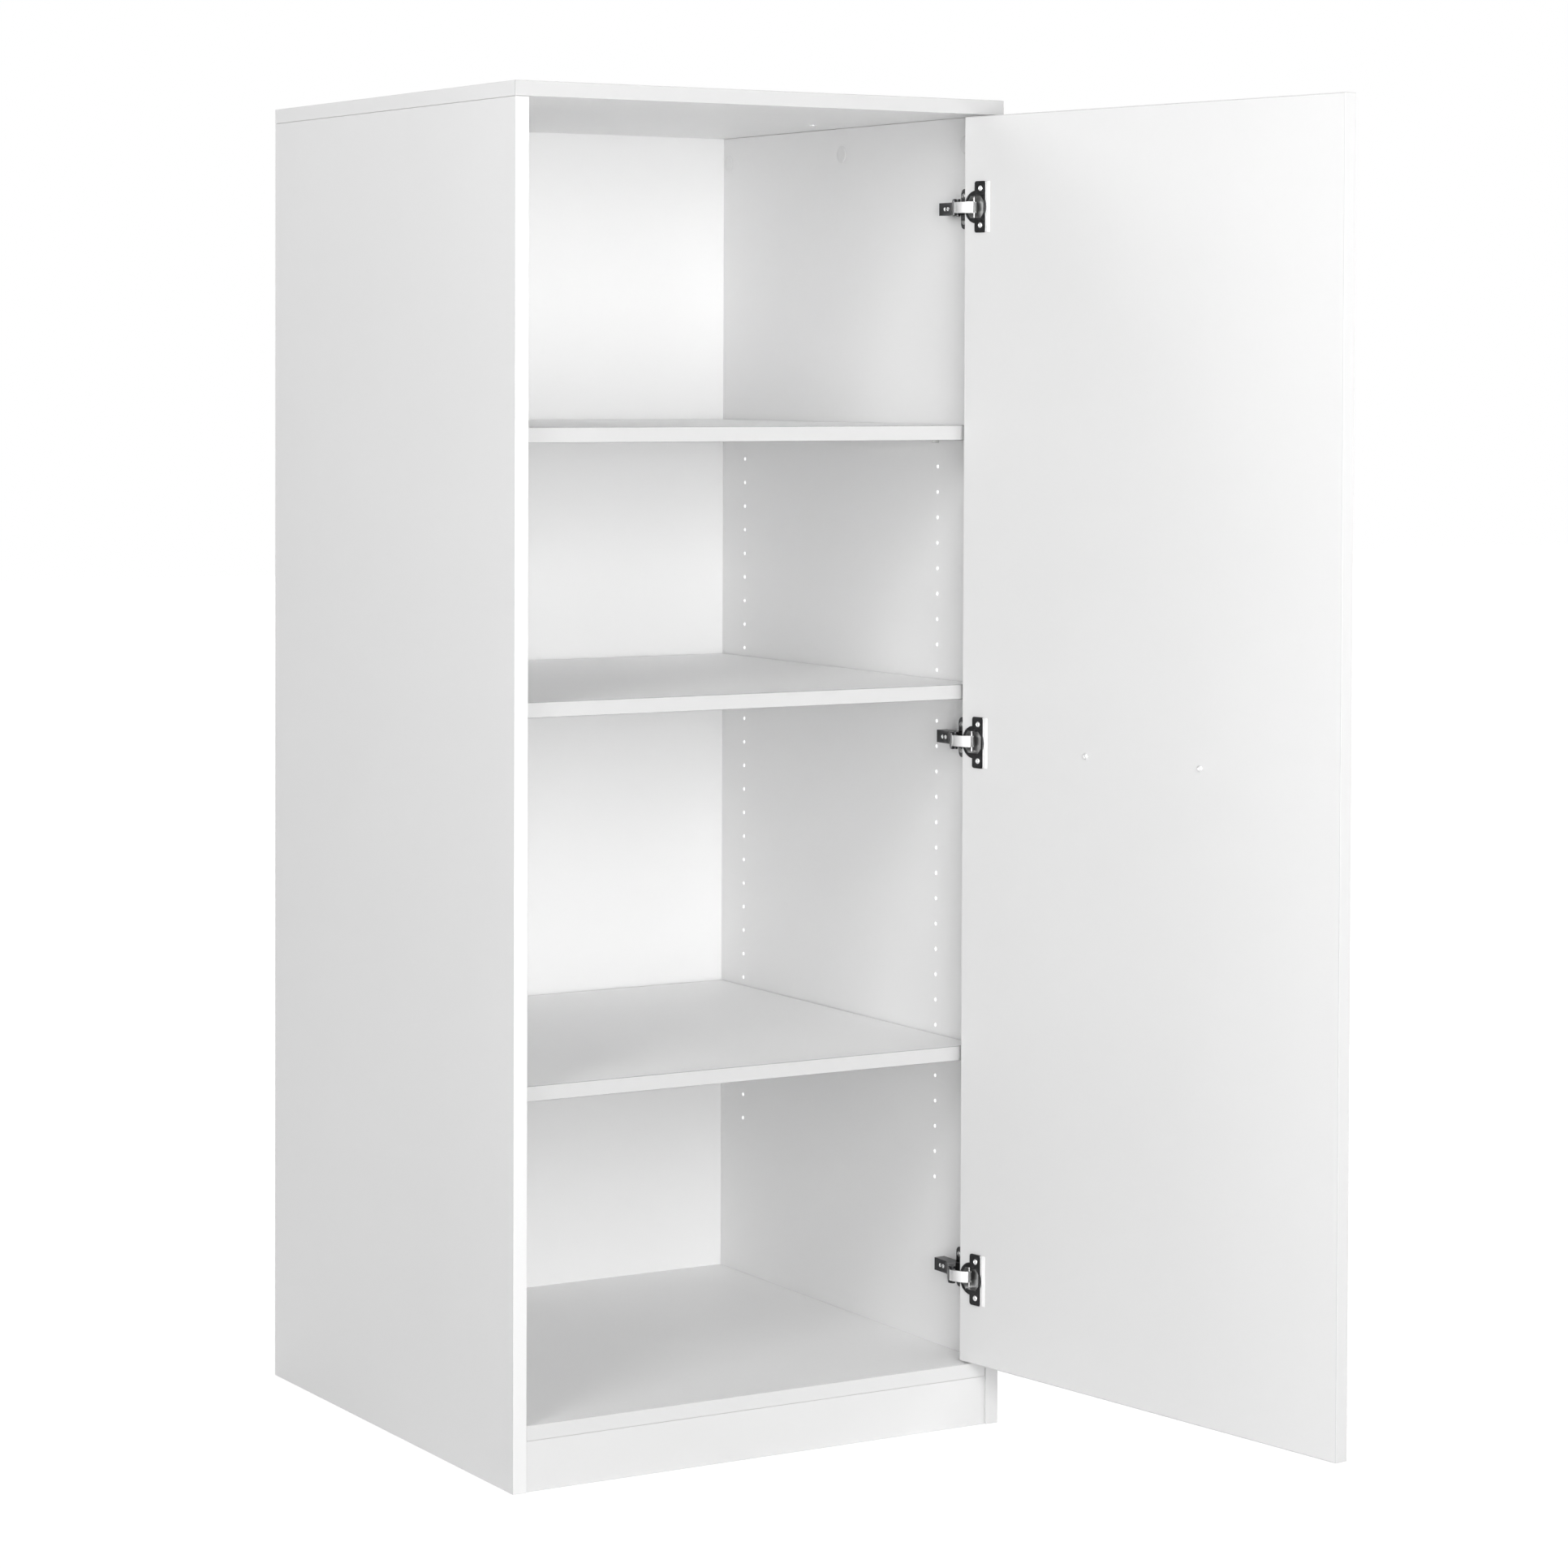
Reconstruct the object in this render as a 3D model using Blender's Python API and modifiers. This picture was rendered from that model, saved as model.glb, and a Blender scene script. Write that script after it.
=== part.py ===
"""A tall utility cabinet of white melamine boards, with an inset door on three concealed hinges.

The boards, shelves, fittings and hinges are modelled with the door closed, and the last step turns
the door and its hinge links to where they rest, with the door standing open.
"""

import math

import bmesh
import bpy
from mathutils import Matrix, Vector

# Carcass. All lengths are in metres. The origin is the centre of the plinth's foot.
BOARD = 0.018
WIDTH = 0.675
DEPTH = 0.675
HEIGHT = 1.638
PLINTH_HEIGHT = 0.060
PLINTH_SETBACK = 0.002
BOTTOM_SETBACK = 0.001
EDGE_CHAMFER = 0.0004
SEAT = 0.0003
OVERRUN = 0.004
WELD = 0.000001
FLAT_ANGLE = math.radians(0.2)
SMOOTH_ANGLE = math.radians(35)

# Back panel, held in a groove near the rear edges
BACK_THICKNESS = 0.003
BACK_INSET = 0.014
GROOVE_DEPTH = 0.006

# Rows of holes for shelf pins
HOLE_DIAMETER = 0.005
HOLE_DEPTH = 0.010
HOLE_PITCH = 0.032
LOWEST_HOLE = 0.289
HOLE_TOP_CLEARANCE = 0.400
FRONT_ROW = 0.118
REAR_ROW_INSET = 0.077
HOLE_SIDES = 8

# Shelves: the lower by its hole, the middle just above the middle hinge, the upper on the top hole
LOWER_SHELF_HOLE = 5
MIDDLE_SHELF_CLEARANCE = 0.040
SHELF_SETBACK = 0.022
SHELF_SIDE_GAP = 0.001
SHELF_BACK_GAP = 0.002
PIN_REACH = 0.0085
PIN_BURY = 0.0085
PIN_TIP = 0.0008
PIN_SIDES = 8

# Cam fittings that draw the sides up to the top, under round caps
CAM_DROP = 0.034
CAM_FRONT_INSET = 0.058
CAM_REAR_INSET = 0.031
CAM_DIAMETER = 0.015
CAM_DEPTH = 0.0125
CAP_DIAMETER = 0.022
CAP_THICKNESS = 0.0012
CAP_ROUND = 0.0006
CAP_FACE_INSET = 0.0012
CAM_SIDES = 20

# Door, set in flush with the front
DOOR_THICKNESS = 0.018
DOOR_GAP = 0.003
DOOR_OPEN = math.radians(98.6)

# Handle, a bent round bar
HANDLE_SPACING = 0.192
HANDLE_DIAMETER = 0.010
HANDLE_PROJECTION = 0.035
HANDLE_BEND = 0.012
HANDLE_DROP = 0.003
HANDLE_SCREW_GRIP = 0.011
BEND_STEPS = 6
BAR_RESOLUTION = 4

# Screws, and their heads' profile as shares of a head's radius and height
SCREW_SIDES = 8
SCREW_HEAD_SHARES = ((0.0, 1.0), (0.62, 0.94), (0.92, 0.60), (1.0, 0.18), (1.0, 0.0))
HANDLE_SCREW = {"head": 0.0080, "height": 0.0024, "shank": 0.0040}
CUP_SCREW = {"head": 0.0070, "height": 0.0020, "shank": 0.0035, "length": 0.0110}
PLATE_SCREW = {"head": 0.0070, "height": 0.0020, "shank": 0.0035, "length": 0.0130}
SCREW_EASE = 0.0003

# Places of the three hinges along the door: their cups' centres from its ends
TOP_HINGE = 0.111
BOTTOM_HINGE = 0.105

# Hinge pins, in plan. "out" is from the door's hinge edge and "back" is from its inner face, closed
HINGE_PIN = 0.0025
HINGE_EASE = 0.0003
HINGE_STEEL = 0.0015
PIN_FACETS = 10
ARM_PIN_OUT = 0.031
ARM_PIN_BACK = 0.006
INNER_PIN_OUT = 0.028
INNER_PIN_BACK = 0.0105
CUP_PIN_OUT = 0.0105
CUP_PIN_DEEP = 0.006
OUTER_LINK_TURN = math.radians(33.0)
INNER_LINK_TURN = math.radians(35.9)

# Hinge cup, set in the door
CUP_CENTRE_OUT = 0.0215
CUP_BORE = 0.035
CUP_BORE_DEPTH = 0.0128
CUP_FLOOR = 0.0015
CUP_RIM = 0.040
CUP_RIM_THICKNESS = 0.0012
CUP_SIDES = 32
CUP_PIN_END_EASE = 0.0009
WELL_LENGTH = 0.029
WELL_WIDTH = 0.027
WELL_FRONT_WIDTH = 0.0144
WELL_CORNER = 0.0052
NOTCH_DEPTH = 0.004
NOTCH_FRONT = 0.003
NOTCH_BACK = 0.009
FLANGE_FRONT = 0.020
FLANGE_WIDTH = 0.0195
FLANGE_LENGTH = 0.063
FLANGE_THICKNESS = 0.0015
FLANGE_CORNER = 0.003
CORNER_STEPS = 4
CUP_SCREW_OUT = 0.031
CUP_SCREW_SPACING = 0.045

# Outer hinge link: a bent channel, wide enough to straddle the inner link
OUTER_LINK_WIDTH = 0.0134
LINK_EYE_WALL = 0.00155
CUP_EYE_WALL = 0.00125
LINK_EYE_ARC = (170.0, 380.0)
CUP_EYE_ARC = (160.0, 380.0)
LINK_EYE_STEPS = 6
# Both edges of the cheeks, and the inside of the web, as shares of the link's length between pins
HOLLOW_EDGE_SHARES = ((0.194, 0.152), (0.358, 0.215), (0.589, 0.215), (0.741, 0.194), (0.851, 0.109))
BACK_EDGE_SHARES = (
    (1.027, 0.177), (0.834, 0.282), (0.653, 0.320), (0.232, 0.320), (0.051, 0.282), (-0.101, 0.160)
)
WEB_INSIDE_SHARES = (
    (-0.493, 0.371), (-0.055, 0.101), (0.084, 0.223), (0.248, 0.261), (0.644, 0.261),
    (0.808, 0.227), (0.985, 0.135), (1.057, 0.025), (1.461, 0.160), (1.461, -0.600), (-0.493, -0.600)
)

# Inner hinge link: one strip, bent along a cubic curve from its eye to its tip in the cup
INNER_LINK_WIDTH = 0.0088
INNER_EYE_WIDTH = 0.0094
INNER_EYE_WALL = 0.00065
INNER_TIP_OUT = 0.012
INNER_TIP_DEEP = 0.0075
INNER_START_SHARE = 0.12
INNER_STEPS = 9
# The curve's control points, along and across the line from eye to tip, as shares of its length
INNER_BEND_SHARES = ((0.0, 0.0), (-0.115, -0.304), (0.516, 0.488), (1.0, 0.0))

# Hinge arm: a pressed channel from the mounting plate to the links. Heights are from the side panel
ARM_HEIGHT = 0.0185
ARM_FOOT = 0.004
ARM_BEND = 0.044
ARM_REAR = 0.071
ARM_WIDTH = 0.0156
ARM_NOSE_WIDTH = 0.021
ARM_NOSE_COVER = 0.0037
ARM_EYE_RADIUS = 0.0036
ARM_EYE_ARC = (218.0, 360.0)
ARM_EYE_STEPS = 6
ARM_CUT_REACH = 0.068
ARM_HOLLOW_OVERRUN = 0.008
ARM_SLOPE_SHARES = ((0.0, 1.0), (0.53, 0.47), (0.75, 0.18), (1.0, 0.0))
ARM_TAPER_SHARES = (0.25, 0.65)
SLOT_CENTRE = 0.055
SLOT_WIDTH = 0.0064
SLOT_LENGTH = 0.0125
SLOT_STEPS = 8
ADJUSTER_DIAMETER = 0.0052

# Mounting plate: a cross, screwed to the side panel, with a ridge under the arm
PLATE_THICKNESS = 0.002
PLATE_BODY_THICKNESS = 0.0024
PLATE_FRONT = 0.026
PLATE_REAR = 0.070
PLATE_WIDTH = 0.012
WING_CENTRE = 0.039
WING_LENGTH = 0.050
WING_WIDTH = 0.014
WING_STEPS = 8
PLATE_SCREW_SPACING = 0.032
RIDGE_WIDTH = 0.0118
RIDGE_EASE = 0.0004
RIDGE_FRONT_SHARE = 0.45

# Places that follow from the sizes
INNER_X = WIDTH / 2 - BOARD
FRONT_Y = -(PLINTH_SETBACK + BOARD / 2)
REAR_Y = FRONT_Y + DEPTH
FLOOR_Z = PLINTH_HEIGHT + BOARD
CEILING_Z = HEIGHT - BOARD
BACK_Y = REAR_Y - BACK_INSET - BACK_THICKNESS
DOOR_LOW = FLOOR_Z + DOOR_GAP
DOOR_HIGH = CEILING_Z - DOOR_GAP
DOOR_EDGE_X = INNER_X - DOOR_GAP
DOOR_FACE_Y = FRONT_Y + DOOR_THICKNESS
HINGE_HEIGHTS = {
    "top": DOOR_HIGH - TOP_HINGE,
    "middle": (DOOR_LOW + DOOR_HIGH) / 2,
    "bottom": DOOR_LOW + BOTTOM_HINGE,
}
HOLE_ROWS = {"front": FRONT_ROW, "rear": DEPTH - REAR_ROW_INSET}
HOLE_COUNT = int((CEILING_Z - HOLE_TOP_CLEARANCE - LOWEST_HOLE) / HOLE_PITCH) + 1
MIDDLE_SHELF_HEIGHT = HINGE_HEIGHTS["middle"] + MIDDLE_SHELF_CLEARANCE
SHELF_HOLES = {
    "upper": HOLE_COUNT - 1,
    "middle": math.ceil((MIDDLE_SHELF_HEIGHT - LOWEST_HOLE) / HOLE_PITCH),
    "lower": LOWER_SHELF_HOLE,
}
CAM_ROWS = {
    "front": CAM_FRONT_INSET,
    "centre": (CAM_FRONT_INSET + DEPTH - CAM_REAR_INSET) / 2,
    "rear": DEPTH - CAM_REAR_INSET,
}

# How an outline drawn on x and y is turned to face up, to the front or to the side
PLAN = Matrix.Identity(4)
FRONT = Matrix.Rotation(math.pi / 2, 4, "X")
SIDE = Matrix(((0, 0, 1, 0), (1, 0, 0, 0), (0, 1, 0, 0), (0, 0, 0, 1)))


def make_collection(name):
    """A new collection in the scene."""
    made = bpy.data.collections.new(name)
    bpy.context.scene.collection.children.link(made)
    return made


def material(name, colour, roughness, metallic=0.0):
    """A Principled material of one colour."""
    made = bpy.data.materials.new(name)
    made.use_nodes = True
    shader = made.node_tree.nodes["Principled BSDF"]
    shader.inputs["Base Color"].default_value = (*colour, 1.0)
    shader.inputs["Roughness"].default_value = roughness
    shader.inputs["Metallic"].default_value = metallic
    return made


for old in list(bpy.data.objects):
    bpy.data.objects.remove(old)
CABINET = make_collection("utility_cabinet")
CUTTERS = make_collection("cutters")
MELAMINE = material("white_melamine", (0.82, 0.83, 0.84), 0.45)
HARDBOARD = material("white_hardboard", (0.85, 0.86, 0.87), 0.50)
NICKEL = material("nickel_plated_steel", (0.62, 0.61, 0.59), 0.22, 1.0)
ZINC = material("nickel_plated_zinc", (0.45, 0.44, 0.43), 0.30, 1.0)
STEEL = material("bright_screw_steel", (0.72, 0.72, 0.72), 0.25, 1.0)
BRUSHED = material("brushed_steel", (0.66, 0.66, 0.65), 0.32, 1.0)
PLASTIC = material("white_plastic", (0.86, 0.86, 0.85), 0.40)


def new_object(name, mesh, finish):
    """A piece of the cabinet, or a hidden helper where no finish is given."""
    made = bpy.data.objects.new(name, mesh)
    if finish is None:
        CUTTERS.objects.link(made)
        made.hide_render = True
        made.display_type = "WIRE"
    else:
        CABINET.objects.link(made)
        mesh.materials.append(finish)
    return made


def from_bmesh(name, bm, finish=None):
    """The bmesh as an object, with round sides shaded smooth."""
    mesh = bpy.data.meshes.new(name)
    bm.to_mesh(mesh)
    bm.free()
    mesh.shade_smooth()
    mesh.set_sharp_from_angle(angle=SMOOTH_ANGLE)
    return new_object(name, mesh, finish)


def add_block(bm, low, high):
    """A box between two corners."""
    low, high = Vector(low), Vector(high)
    place = Matrix.Translation((low + high) / 2) @ Matrix.Diagonal((*(high - low), 1))
    bmesh.ops.create_cube(bm, size=1, matrix=place)


def add_rod(bm, start, end, radius, sides):
    """A cylinder from one point to another."""
    start, end = Vector(start), Vector(end)
    axis = end - start
    place = Matrix.Translation((start + end) / 2) @ axis.to_track_quat("Z", "Y").to_matrix().to_4x4()
    bmesh.ops.create_cone(
        bm, cap_ends=True, segments=sides, radius1=radius, radius2=radius, depth=axis.length, matrix=place
    )


def block(name, low, high, finish=None):
    """A box as its own object."""
    bm = bmesh.new()
    add_block(bm, low, high)
    return from_bmesh(name, bm, finish)


def board(name, low, high, finish):
    """A board with its edges just broken."""
    made = block(name, low, high, finish)
    chamfer = made.modifiers.new("broken_edges", "BEVEL")
    chamfer.width = EDGE_CHAMFER
    chamfer.segments = 1
    return made


def rods(name, spans, radius, sides, finish=None):
    """Cylinders of one radius between pairs of points, as one object."""
    bm = bmesh.new()
    for start, end in spans:
        add_rod(bm, start, end, radius, sides)
    return from_bmesh(name, bm, finish)


def slab(name, outline, facing, low, high, finish=None):
    """A flat outline given a thickness, from low to high along the way that it faces."""
    curve = bpy.data.curves.new(name, "CURVE")
    curve.dimensions = "2D"
    curve.fill_mode = "BOTH"
    curve.extrude = (high - low) / 2
    spline = curve.splines.new("POLY")
    spline.points.add(len(outline) - 1)
    for point, place in zip(spline.points, outline):
        point.co = (place[0], place[1], 0, 1)
    spline.use_cyclic_u = True
    drawn = bpy.data.objects.new(name + "_outline", curve)
    CUTTERS.objects.link(drawn)
    drawn.matrix_world = facing @ Matrix.Translation((0, 0, (low + high) / 2))
    bpy.context.view_layer.update()
    evaluated = drawn.evaluated_get(bpy.context.evaluated_depsgraph_get())
    mesh = bpy.data.meshes.new_from_object(evaluated)
    bm = bmesh.new()
    bm.from_mesh(mesh)
    bmesh.ops.remove_doubles(bm, verts=bm.verts, dist=WELD)
    bmesh.ops.dissolve_limit(bm, angle_limit=FLAT_ANGLE, verts=bm.verts, edges=bm.edges)
    bmesh.ops.recalc_face_normals(bm, faces=bm.faces)
    made = from_bmesh(name, bm, finish)
    made.matrix_world = drawn.matrix_world
    bpy.data.objects.remove(drawn)
    return made


def turned(name, profile, place, sides, finish):
    """A profile of (radius, height), from its top down, turned about an axis."""
    mesh = bpy.data.meshes.new(name)
    points = [(radius, 0, height) for radius, height in profile]
    mesh.from_pydata(points, [(i, i + 1) for i in range(len(points) - 1)], [])
    made = new_object(name, mesh, finish)
    made.matrix_world = place
    screw = made.modifiers.new("turn", "SCREW")
    screw.steps = sides
    screw.render_steps = sides
    screw.use_merge_vertices = True
    screw.merge_threshold = WELD
    return made


def combine(piece, other, operation):
    """A Boolean of one object with another."""
    step = piece.modifiers.new(other.name, "BOOLEAN")
    step.operation = operation
    step.object = other
    return piece


def cut(piece, cutter):
    """Takes the cutter away from the piece."""
    return combine(piece, cutter, "DIFFERENCE")


def join(piece, other):
    """Adds the other solid to the piece."""
    return combine(piece, other, "UNION")


def arc(centre, radius, start, end, steps):
    """Points on an arc, from one angle to another in degrees."""
    angles = [math.radians(start + (end - start) * i / steps) for i in range(steps + 1)]
    return [(centre[0] + radius * math.cos(a), centre[1] + radius * math.sin(a)) for a in angles]


def rounded_rectangle(low, high, radius):
    """The outline of a rectangle with round corners."""
    corners = (
        ((high[0] - radius, high[1] - radius), 0),
        ((low[0] + radius, high[1] - radius), 90),
        ((low[0] + radius, low[1] + radius), 180),
        ((high[0] - radius, low[1] + radius), 270),
    )
    outline = []
    for centre, start in corners:
        outline += arc(centre, radius, start, start + 90, CORNER_STEPS)
    return outline


def offset_line(points, distance):
    """An open line moved sideways, to the right of the way it runs, with its corners kept sharp."""
    points = [Vector(p) for p in points]
    runs = [(b - a).normalized() for a, b in zip(points, points[1:])]
    moved = []
    for i, point in enumerate(points):
        before = runs[max(i - 1, 0)]
        after = runs[min(i, len(runs) - 1)]
        normal = Vector((before.y + after.y, -before.x - after.x)).normalized()
        square = Vector((before.y, -before.x))
        moved.append(point + normal * distance / normal.dot(square))
    return [(p.x, p.y) for p in moved]


def axis_place(point, direction):
    """A place whose z axis runs in a given direction."""
    turn = Vector(direction).to_track_quat("Z", "Y").to_matrix().to_4x4()
    return Matrix.Translation(point) @ turn


def screw(name, seat, direction, size, length, finish=STEEL):
    """A pan-head screw whose head stands on its seat, with its shank going the other way."""
    head, shank, height = size["head"] / 2, size["shank"] / 2, size["height"]
    profile = [(head * out, height * up) for out, up in SCREW_HEAD_SHARES]
    profile += [(shank, 0), (shank, -length + shank), (0, -length)]
    return turned(name, profile, axis_place(seat, direction), SCREW_SIDES, finish)


def hole_heights():
    """The heights of the holes in one row."""
    return [LOWEST_HOLE + HOLE_PITCH * i for i in range(HOLE_COUNT)]


def hole_cutters(side):
    """All the shelf-pin holes of one side panel, with flats at the hole's radius."""
    face = side * INNER_X
    spans = []
    for row in HOLE_ROWS.values():
        for height in hole_heights():
            mouth = (face - side * OVERRUN, FRONT_Y + row, height)
            end = (face + side * HOLE_DEPTH, FRONT_Y + row, height)
            spans.append((mouth, end))
    radius = HOLE_DIAMETER / 2 / math.cos(math.pi / HOLE_SIDES)
    return rods("pin_holes", spans, radius, HOLE_SIDES)


def cam_bores(side):
    """The bores for the cam fittings of one side panel."""
    face = side * INNER_X
    height = CEILING_Z - CAM_DROP
    spans = []
    for row in CAM_ROWS.values():
        mouth = (face - side * OVERRUN, FRONT_Y + row, height)
        end = (face + side * (CAM_DEPTH + SEAT), FRONT_Y + row, height)
        spans.append((mouth, end))
    return rods("cam_bores", spans, CAM_DIAMETER / 2 + SEAT, CAM_SIDES)


def plate_screw_places(height):
    """Where the screws of one mounting plate enter the side panel."""
    y = DOOR_FACE_Y + WING_CENTRE
    half = PLATE_SCREW_SPACING / 2
    return {"upper": (INNER_X, y, height + half), "lower": (INNER_X, y, height - half)}


def make_side(name, side):
    """A side panel, grooved for the back and drilled on its inner face."""
    low, high = sorted((side * INNER_X, side * WIDTH / 2))
    made = board(name, (low, FRONT_Y, 0), (high, REAR_Y, CEILING_Z - SEAT), MELAMINE)
    low, high = sorted((side * (INNER_X - OVERRUN), side * (INNER_X + GROOVE_DEPTH)))
    groove = block(
        name + "_groove", (low, BACK_Y - SEAT, -OVERRUN), (high, REAR_Y - BACK_INSET + SEAT, HEIGHT)
    )
    cut(made, groove)
    cut(made, hole_cutters(side))
    cut(made, cam_bores(side))
    if side > 0:
        spans = []
        for height in HINGE_HEIGHTS.values():
            for x, y, z in plate_screw_places(height).values():
                spans.append(((x - OVERRUN, y, z), (x + PLATE_SCREW["length"] + SEAT, y, z)))
        cut(made, rods("plate_pilots", spans, PLATE_SCREW["shank"] / 2 + SCREW_EASE, SCREW_SIDES))
    return made


def make_carcass():
    """The top, bottom, sides, back and plinth."""
    make_side("left_side", -1)
    make_side("right_side", 1)
    groove_low, groove_high = BACK_Y - SEAT, REAR_Y - BACK_INSET + SEAT
    top = board("top_panel", (-WIDTH / 2, FRONT_Y, CEILING_Z), (WIDTH / 2, REAR_Y, HEIGHT), MELAMINE)
    reach = INNER_X + GROOVE_DEPTH
    low, high = (-reach, groove_low, CEILING_Z - OVERRUN), (reach, groove_high, CEILING_Z + GROOVE_DEPTH)
    cut(top, block("top_groove", low, high))
    across = INNER_X - SEAT
    low, high = (-across, FRONT_Y + BOTTOM_SETBACK, PLINTH_HEIGHT), (across, REAR_Y, FLOOR_Z)
    bottom = board("bottom_panel", low, high, MELAMINE)
    low = (-INNER_X - OVERRUN, groove_low, FLOOR_Z - GROOVE_DEPTH)
    high = (INNER_X + OVERRUN, groove_high, FLOOR_Z + OVERRUN)
    cut(bottom, block("bottom_groove", low, high))
    board("plinth", (-across, -BOARD / 2, 0), (across, BOARD / 2, PLINTH_HEIGHT - SEAT), MELAMINE)
    reach = INNER_X + GROOVE_DEPTH - SEAT
    low = (-reach, BACK_Y, FLOOR_Z - GROOVE_DEPTH + SEAT)
    high = (reach, BACK_Y + BACK_THICKNESS, CEILING_Z + GROOVE_DEPTH - SEAT)
    block("back_panel", low, high, HARDBOARD)


def make_cam_fittings():
    """The cam fittings at the top of each side, each a barrel in its bore under a round cap."""
    cap, barrel = CAP_DIAMETER / 2, CAM_DIAMETER / 2
    profile = (
        (0, CAP_THICKNESS + SEAT), (cap - CAP_FACE_INSET, CAP_THICKNESS + SEAT),
        (cap, CAP_THICKNESS + SEAT - CAP_ROUND), (cap, SEAT), (barrel, SEAT),
        (barrel, -CAM_DEPTH), (0, -CAM_DEPTH),
    )
    for hand, side in (("left", -1), ("right", 1)):
        for row, from_front in CAM_ROWS.items():
            point = (side * INNER_X, FRONT_Y + from_front, CEILING_Z - CAM_DROP)
            key = f"cam_fitting_{hand}_{row}"
            turned(key, profile, axis_place(point, (-side, 0, 0)), CAM_SIDES, PLASTIC)


def make_shelves():
    """The three shelves, and four pins under each."""
    inside, outside = HOLE_DIAMETER / 2 - SEAT, HOLE_DIAMETER / 2
    profile = (
        (0, PIN_REACH), (outside - PIN_TIP, PIN_REACH), (outside, PIN_REACH - PIN_TIP), (outside, SEAT),
        (inside, SEAT), (inside, PIN_TIP - PIN_BURY), (inside - PIN_TIP, -PIN_BURY), (0, -PIN_BURY),
    )
    reach = INNER_X - SHELF_SIDE_GAP
    for name, hole in SHELF_HOLES.items():
        height = hole_heights()[hole]
        under = height + HOLE_DIAMETER / 2 + SEAT
        board(
            f"shelf_{name}", (-reach, FRONT_Y + SHELF_SETBACK, under),
            (reach, BACK_Y - SHELF_BACK_GAP, under + BOARD), MELAMINE
        )
        for hand, side in (("left", -1), ("right", 1)):
            for row, from_front in HOLE_ROWS.items():
                point = (side * INNER_X, FRONT_Y + from_front, height)
                key = f"shelf_pin_{name}_{hand}_{row}"
                turned(key, profile, axis_place(point, (-side, 0, 0)), PIN_SIDES, NICKEL)


def handle_screw_places():
    """Where the handle's two screws go through the door."""
    height = (DOOR_LOW + DOOR_HIGH) / 2 - HANDLE_DROP
    return {"left": (-HANDLE_SPACING / 2, height), "right": (HANDLE_SPACING / 2, height)}


def cup_screw_places(height):
    """Where the screws of one hinge cup enter the door."""
    x = DOOR_EDGE_X - CUP_SCREW_OUT
    half = CUP_SCREW_SPACING / 2
    return {"upper": (x, height + half), "lower": (x, height - half)}


def make_door():
    """The door, bored for its hinge cups and drilled for the handle."""
    made = board(
        "door", (-INNER_X + DOOR_GAP, FRONT_Y, DOOR_LOW), (DOOR_EDGE_X, DOOR_FACE_Y, DOOR_HIGH), MELAMINE
    )
    centre = DOOR_EDGE_X - CUP_CENTRE_OUT
    over, floor = DOOR_FACE_Y + OVERRUN, DOOR_FACE_Y - CUP_BORE_DEPTH
    bores = [((centre, over, z), (centre, floor, z)) for z in HINGE_HEIGHTS.values()]
    cut(made, rods("cup_bores", bores, CUP_BORE / 2, CUP_SIDES))
    pilots = []
    end = DOOR_FACE_Y - CUP_SCREW["length"] - SEAT
    for height in HINGE_HEIGHTS.values():
        pilots += [((x, over, z), (x, end, z)) for x, z in cup_screw_places(height).values()]
    cut(made, rods("cup_pilots", pilots, CUP_SCREW["shank"] / 2 + SCREW_EASE, SCREW_SIDES))
    through = [((x, over, z), (x, FRONT_Y - OVERRUN, z)) for x, z in handle_screw_places().values()]
    cut(made, rods("handle_holes", through, HANDLE_SCREW["shank"] / 2 + SCREW_EASE, SCREW_SIDES))
    return made


def make_handle():
    """The handle: a round bar bent square to the door at both ends, and its two screws."""
    foot = FRONT_Y - SEAT
    out = FRONT_Y - HANDLE_PROJECTION + HANDLE_DIAMETER / 2
    half = HANDLE_SPACING / 2
    route = [(-half, foot)]
    route += arc((-half + HANDLE_BEND, out + HANDLE_BEND), HANDLE_BEND, 180, 270, BEND_STEPS)
    route += arc((half - HANDLE_BEND, out + HANDLE_BEND), HANDLE_BEND, 270, 360, BEND_STEPS)
    route += [(half, foot)]
    height = handle_screw_places()["left"][1]
    curve = bpy.data.curves.new("handle_bar", "CURVE")
    curve.dimensions = "3D"
    curve.bevel_depth = HANDLE_DIAMETER / 2
    curve.bevel_resolution = BAR_RESOLUTION
    curve.use_fill_caps = True
    spline = curve.splines.new("POLY")
    spline.points.add(len(route) - 1)
    for point, (x, y) in zip(spline.points, route):
        point.co = (x, y, height, 1)
    drawn = bpy.data.objects.new("handle_bar", curve)
    CUTTERS.objects.link(drawn)
    bpy.context.view_layer.update()
    mesh = bpy.data.meshes.new_from_object(drawn.evaluated_get(bpy.context.evaluated_depsgraph_get()))
    bpy.data.objects.remove(drawn)
    bm = bmesh.new()
    bm.from_mesh(mesh)
    bmesh.ops.remove_doubles(bm, verts=bm.verts, dist=WELD)
    made = from_bmesh("handle", bm, BRUSHED)
    spans = []
    for x, z in handle_screw_places().values():
        spans.append(((x, FRONT_Y + OVERRUN, z), (x, foot - HANDLE_SCREW_GRIP - SEAT, z)))
    cut(made, rods("handle_bores", spans, HANDLE_SCREW["shank"] / 2 + SCREW_EASE, SCREW_SIDES))
    pieces = [made]
    length = DOOR_THICKNESS + SEAT + HANDLE_SCREW_GRIP
    for hand, (x, z) in handle_screw_places().items():
        seat = (x, DOOR_FACE_Y + SEAT, z)
        pieces.append(screw(f"handle_screw_{hand}", seat, (0, 1, 0), HANDLE_SCREW, length))
    return pieces


def plan(out, back):
    """A point in plan, out from the side panel's face and back from the closed door's inner face."""
    return (INNER_X - out, DOOR_FACE_Y + back)


def arm_pin():
    """The outer link's pin in the arm, as (out, back)."""
    return (DOOR_GAP + ARM_PIN_OUT, ARM_PIN_BACK)


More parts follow.
